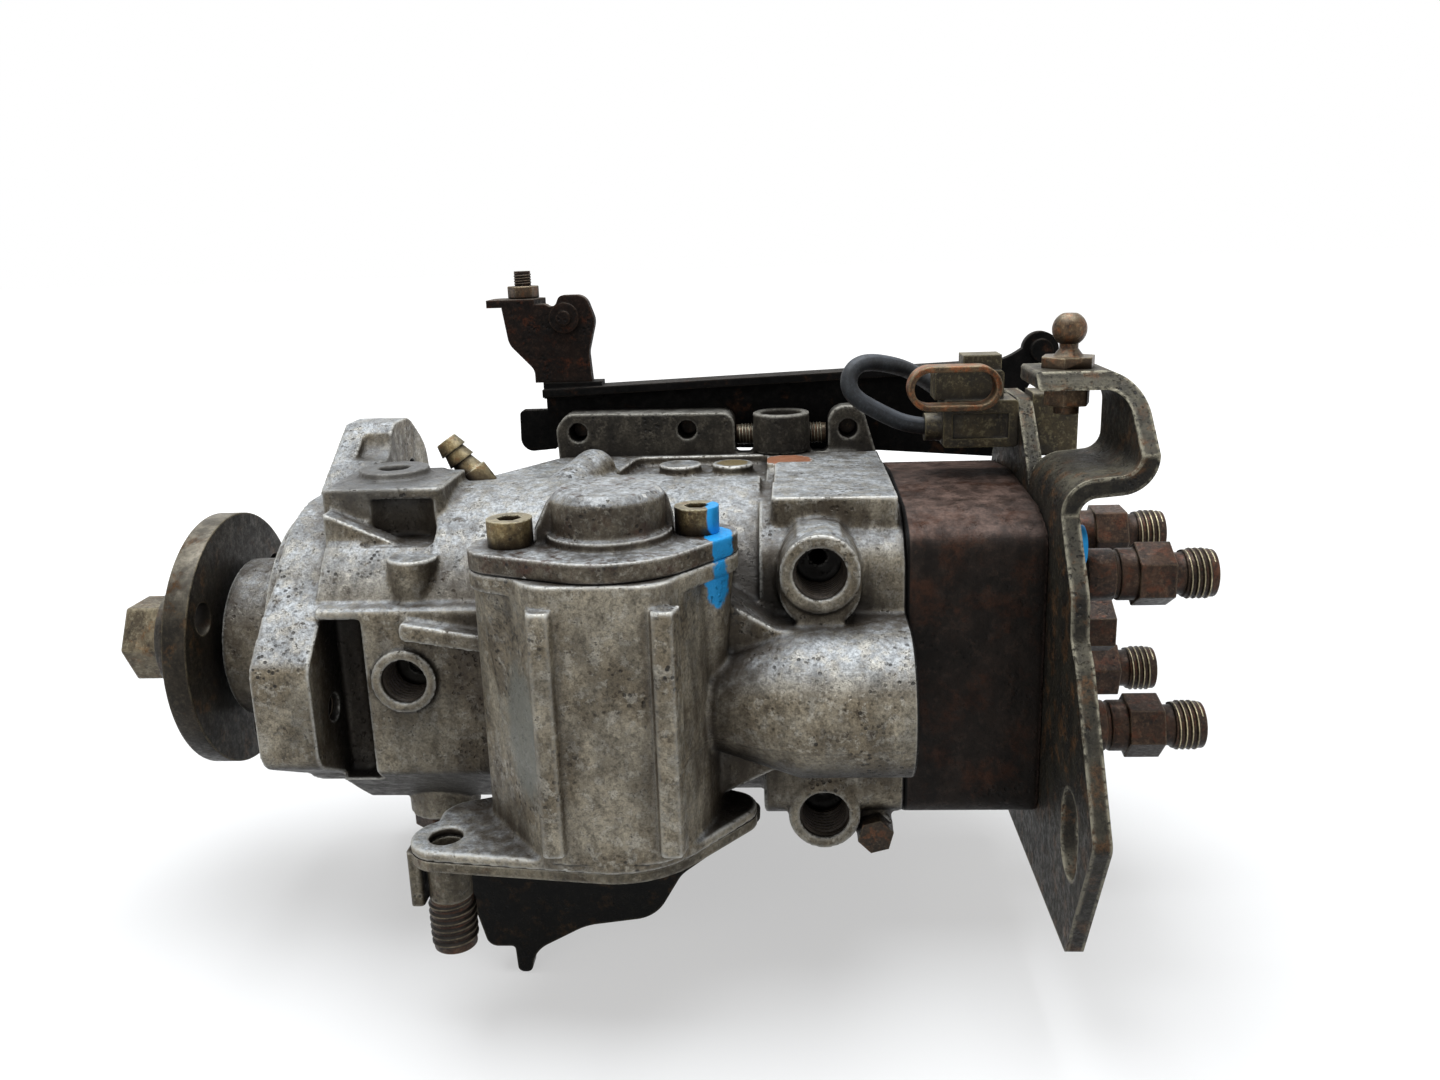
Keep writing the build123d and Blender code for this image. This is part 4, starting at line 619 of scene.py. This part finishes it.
oily_and_shaded_steel = weathered(
    "oily_and_shaded_steel", tones=[(12, 11, 9), (7, 7, 6), (22, 20, 16)],
    grime_and_shade=[(8, 7, 6), (4, 4, 4)], upper=(58, 54, 44), speckle=0.4, rough=(0.22, 0.55),
    shine=0.1, metal=0.1, mottle=8.0, relief=0.25, pits=0.6, wear_and_highlight=(104, 98, 82), wear_and_highlight_amount=0.7,
    wear_and_highlight_width=0.9, rust=(56, 42, 28), rust_amount=0.4, shade_and_soil=0.7, corner=5.0)
dress("advance_bracket", oily_and_shaded_steel)

# ---------------------------------------------------------------------------
# Governor cover. Cast aluminium, darker than the housing with oil, with a
# rail, a boss and an ear along its upper edge.

cover_grey = weathered(
    "governor_cover_cast", tones=[(58, 54, 47), (38, 35, 30), (80, 75, 66)],
    grime_and_shade=[(26, 22, 18), (11, 10, 9)], upper=(104, 102, 97), speckle=0.5, rough=(0.38, 0.68),
    shine=0.2, metal=0.15, moulded=True, mottle=11.0, relief=0.26, pits=0.8,
    wear_and_highlight=(150, 147, 138), wear_and_highlight_width=1.2, shade_and_soil=0.9, corner=7.0)
cast_skin("governor_cover", cover_grey)

# ---------------------------------------------------------------------------
# Adjusting screws of the cover: two stops, the full-load screw and the screw
# through the boss. Steel, brown with rust, with rolled threads.

dress("adjusting_screws", stud_steel, 0.2)
screw_thread = two_tone("screw_thread", (150, 144, 126), (62, 54, 43))
for name, x0, x1, y, z in (("idle_stop_thread", 58.4, 75.6, 80.5, 22.0),
                           ("full_stop_thread", 102.4, 117.9, 80.5, 22.0),
                           ("load_screw_thread", 136.4, 148.9, 77.5, 12.5),
                           ("boss_screw_thread", 114.1, 141.3, 52.0, 46.0)):
    thread(name, (x0, y, z), (x1, y, z), 2.96, 3.24, 1.0, screw_thread)

# ---------------------------------------------------------------------------
# Throttle shaft with its lever and return spring. The lever is pressed steel
# riveted to the shaft, the spring is wound from bright wire.

dress("throttle_shaft", stud_steel, 0.2)
dress("throttle_lever", cover_plate)
dress("return_spring", oiled_steel, 0)

# ---------------------------------------------------------------------------
# Long bar over the cover. Flat steel with a folded edge, painted black,
# glossy with oil below, dusty along the top and painted lighter there with light
# from above.

bar_paint = weathered(
    "bar_paint", tones=[(9, 8, 8), (6, 6, 6), (16, 14, 13)],
    grime_and_shade=[(8, 7, 6), (5, 5, 5)], upper=(42, 39, 36), speckle=0.3, rough=(0.5, 0.8), shine=0.06,
    metal=0.0, mottle=12.0, relief=0.12, pits=0.3, wear_and_highlight=(70, 62, 54), wear_and_highlight_amount=0.4,
    wear_and_highlight_width=0.7, rust=(52, 34, 24), rust_amount=0.25, shade_and_soil=0.5, corner=5.0)
dress("cable_bar", bar_paint, 0.4)

# ---------------------------------------------------------------------------
# Cable clamp on the bar and its bolt. Bent sheet steel, black-brown with
# rust, with an ear that is pinned to the upright.

clamp_steel = weathered(
    "clamp_steel", tones=[(26, 17, 13), (17, 12, 10), (40, 27, 20)],
    grime_and_shade=[(13, 10, 8), (7, 6, 5)], upper=(88, 80, 72), speckle=0.45, rough=(0.5, 0.8),
    shine=0.1, metal=0.05, mottle=6.0, relief=0.3, pits=0.8, wear_and_highlight=(86, 66, 52), wear_and_highlight_amount=0.5,
    wear_and_highlight_width=0.9, rust=(62, 32, 19), rust_amount=0.4, shade_and_soil=0.6, corner=4.0)
dress("cable_clamp", clamp_steel, 0.4)
dress("clamp_bolt", clamp_steel)
thread("clamp_thread", (47.6, 64.5, 92.2), (47.6, 64.5, 96.7), 2.46, 2.74, 0.8,
       two_tone("clamp_thread", (112, 98, 82), (44, 34, 27)))

# ---------------------------------------------------------------------------
# Stop solenoid. A drawn steel can on a hexagon, screwed into the head from
# behind, with a plated skin.

dress("solenoid", zinc)

# ---------------------------------------------------------------------------
# Plug connector in front of the bracket's tab and its socket behind. Moulded
# khaki plastic, black with oily dust in the recesses.

plastic = weathered(
    "khaki_plastic", tones=[(70, 61, 42), (44, 38, 27), (116, 107, 80)],
    grime_and_shade=[(34, 29, 22), (14, 12, 10)], upper=(104, 96, 78), speckle=0.3, rough=(0.4, 0.65),
    metal=0.0, mottle=6.0, relief=0.12, pits=0.7, wear_and_highlight=(158, 148, 114), wear_and_highlight_amount=0.7,
    wear_and_highlight_width=0.7, shade_and_soil=0.95, corner=4.0)
dress("connector_body", plastic, 0.5)
dress("connector_socket", plastic, 0.5)

# ---------------------------------------------------------------------------
# Lock clip of the plug. A flat steel band bent to an oval loop, rusty, with
# orange rust on its lower side.

clip_steel = weathered(
    "clip_steel", tones=[(84, 67, 47), (60, 47, 33), (116, 98, 74)],
    grime_and_shade=[(44, 33, 24), (20, 17, 14)], upper=(124, 110, 88), speckle=0.3, rough=(0.35, 0.6),
    metal=0.4, mottle=4.0, relief=0.08, pits=0.6, wear_and_highlight=(162, 146, 116), wear_and_highlight_width=0.6,
    rust=(130, 74, 38), rust_amount=0.7, shade_and_soil=0.6, corner=3.0)
dress("lock_clip", clip_steel, 0.3)

# ---------------------------------------------------------------------------
# Lead of the stop solenoid. A short rubber cable that leaves the plug, loops
# back over it and drops behind the bracket to the solenoid.

lead_points = [(171.0, 6.0, 54.6), (163.0, 6.0, 54.6), (153.9, 6.0, 58.8), (146.3, 6.0, 63.6),
               (145.9, 7.5, 68.9), (150.0, 9.5, 72.3), (160.5, 14.5, 70.0), (167.5, 24.0, 65.5),
               (174.3, 31.5, 60.1), (186.2, 38.5, 58.0), (196.3, 45.5, 51.3), (201.5, 50.0, 40.3),
               (202.0, 51.4, 27.4), (196.4, 52.0, 16.8), (190.0, 52.0, 12.0)]
rubber = weathered(
    "lead_rubber", tones=[(32, 35, 39), (24, 26, 29), (44, 48, 53)],
    grime_and_shade=[(22, 21, 19), (12, 11, 11)], upper=(62, 66, 72), speckle=0.12, rough=(0.42, 0.62),
    metal=0.0, mottle=5.0, relief=0.05, pits=0.2, wear_and_highlight=(92, 94, 98), wear_and_highlight_amount=0.0, shade_and_soil=0.4,
    corner=3.0)
lead_length, lead_diameter = 0.1456, 0.0046
line = bpy.data.curves.new("lead", "CURVE")
line.dimensions, line.bevel_depth, line.bevel_resolution = "3D", lead_diameter / 2, 5
spline = line.splines.new("NURBS")
spline.points.add(len(lead_points) - 1)
for point, place in zip(spline.points, lead_points):
    point.co = (*(Vector(place) * MM), 1)
spline.order_u, spline.use_endpoint_u, spline.resolution_u = 3, True, 12
line.materials.append(rubber)
lead = bpy.data.objects.new("stop_lead", line)
bpy.context.scene.collection.objects.link(lead)
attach(lead, "pump")
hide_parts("lead")

# ---------------------------------------------------------------------------
# Small fittings. The barbed leak-off union and the regulating valve are
# plated, the screw beside the lower port is plain steel.

dress("return_union", zinc, 0.2)
dress("regulating_valve", union_steel)
dress("drain_screw", head_screw_steel)
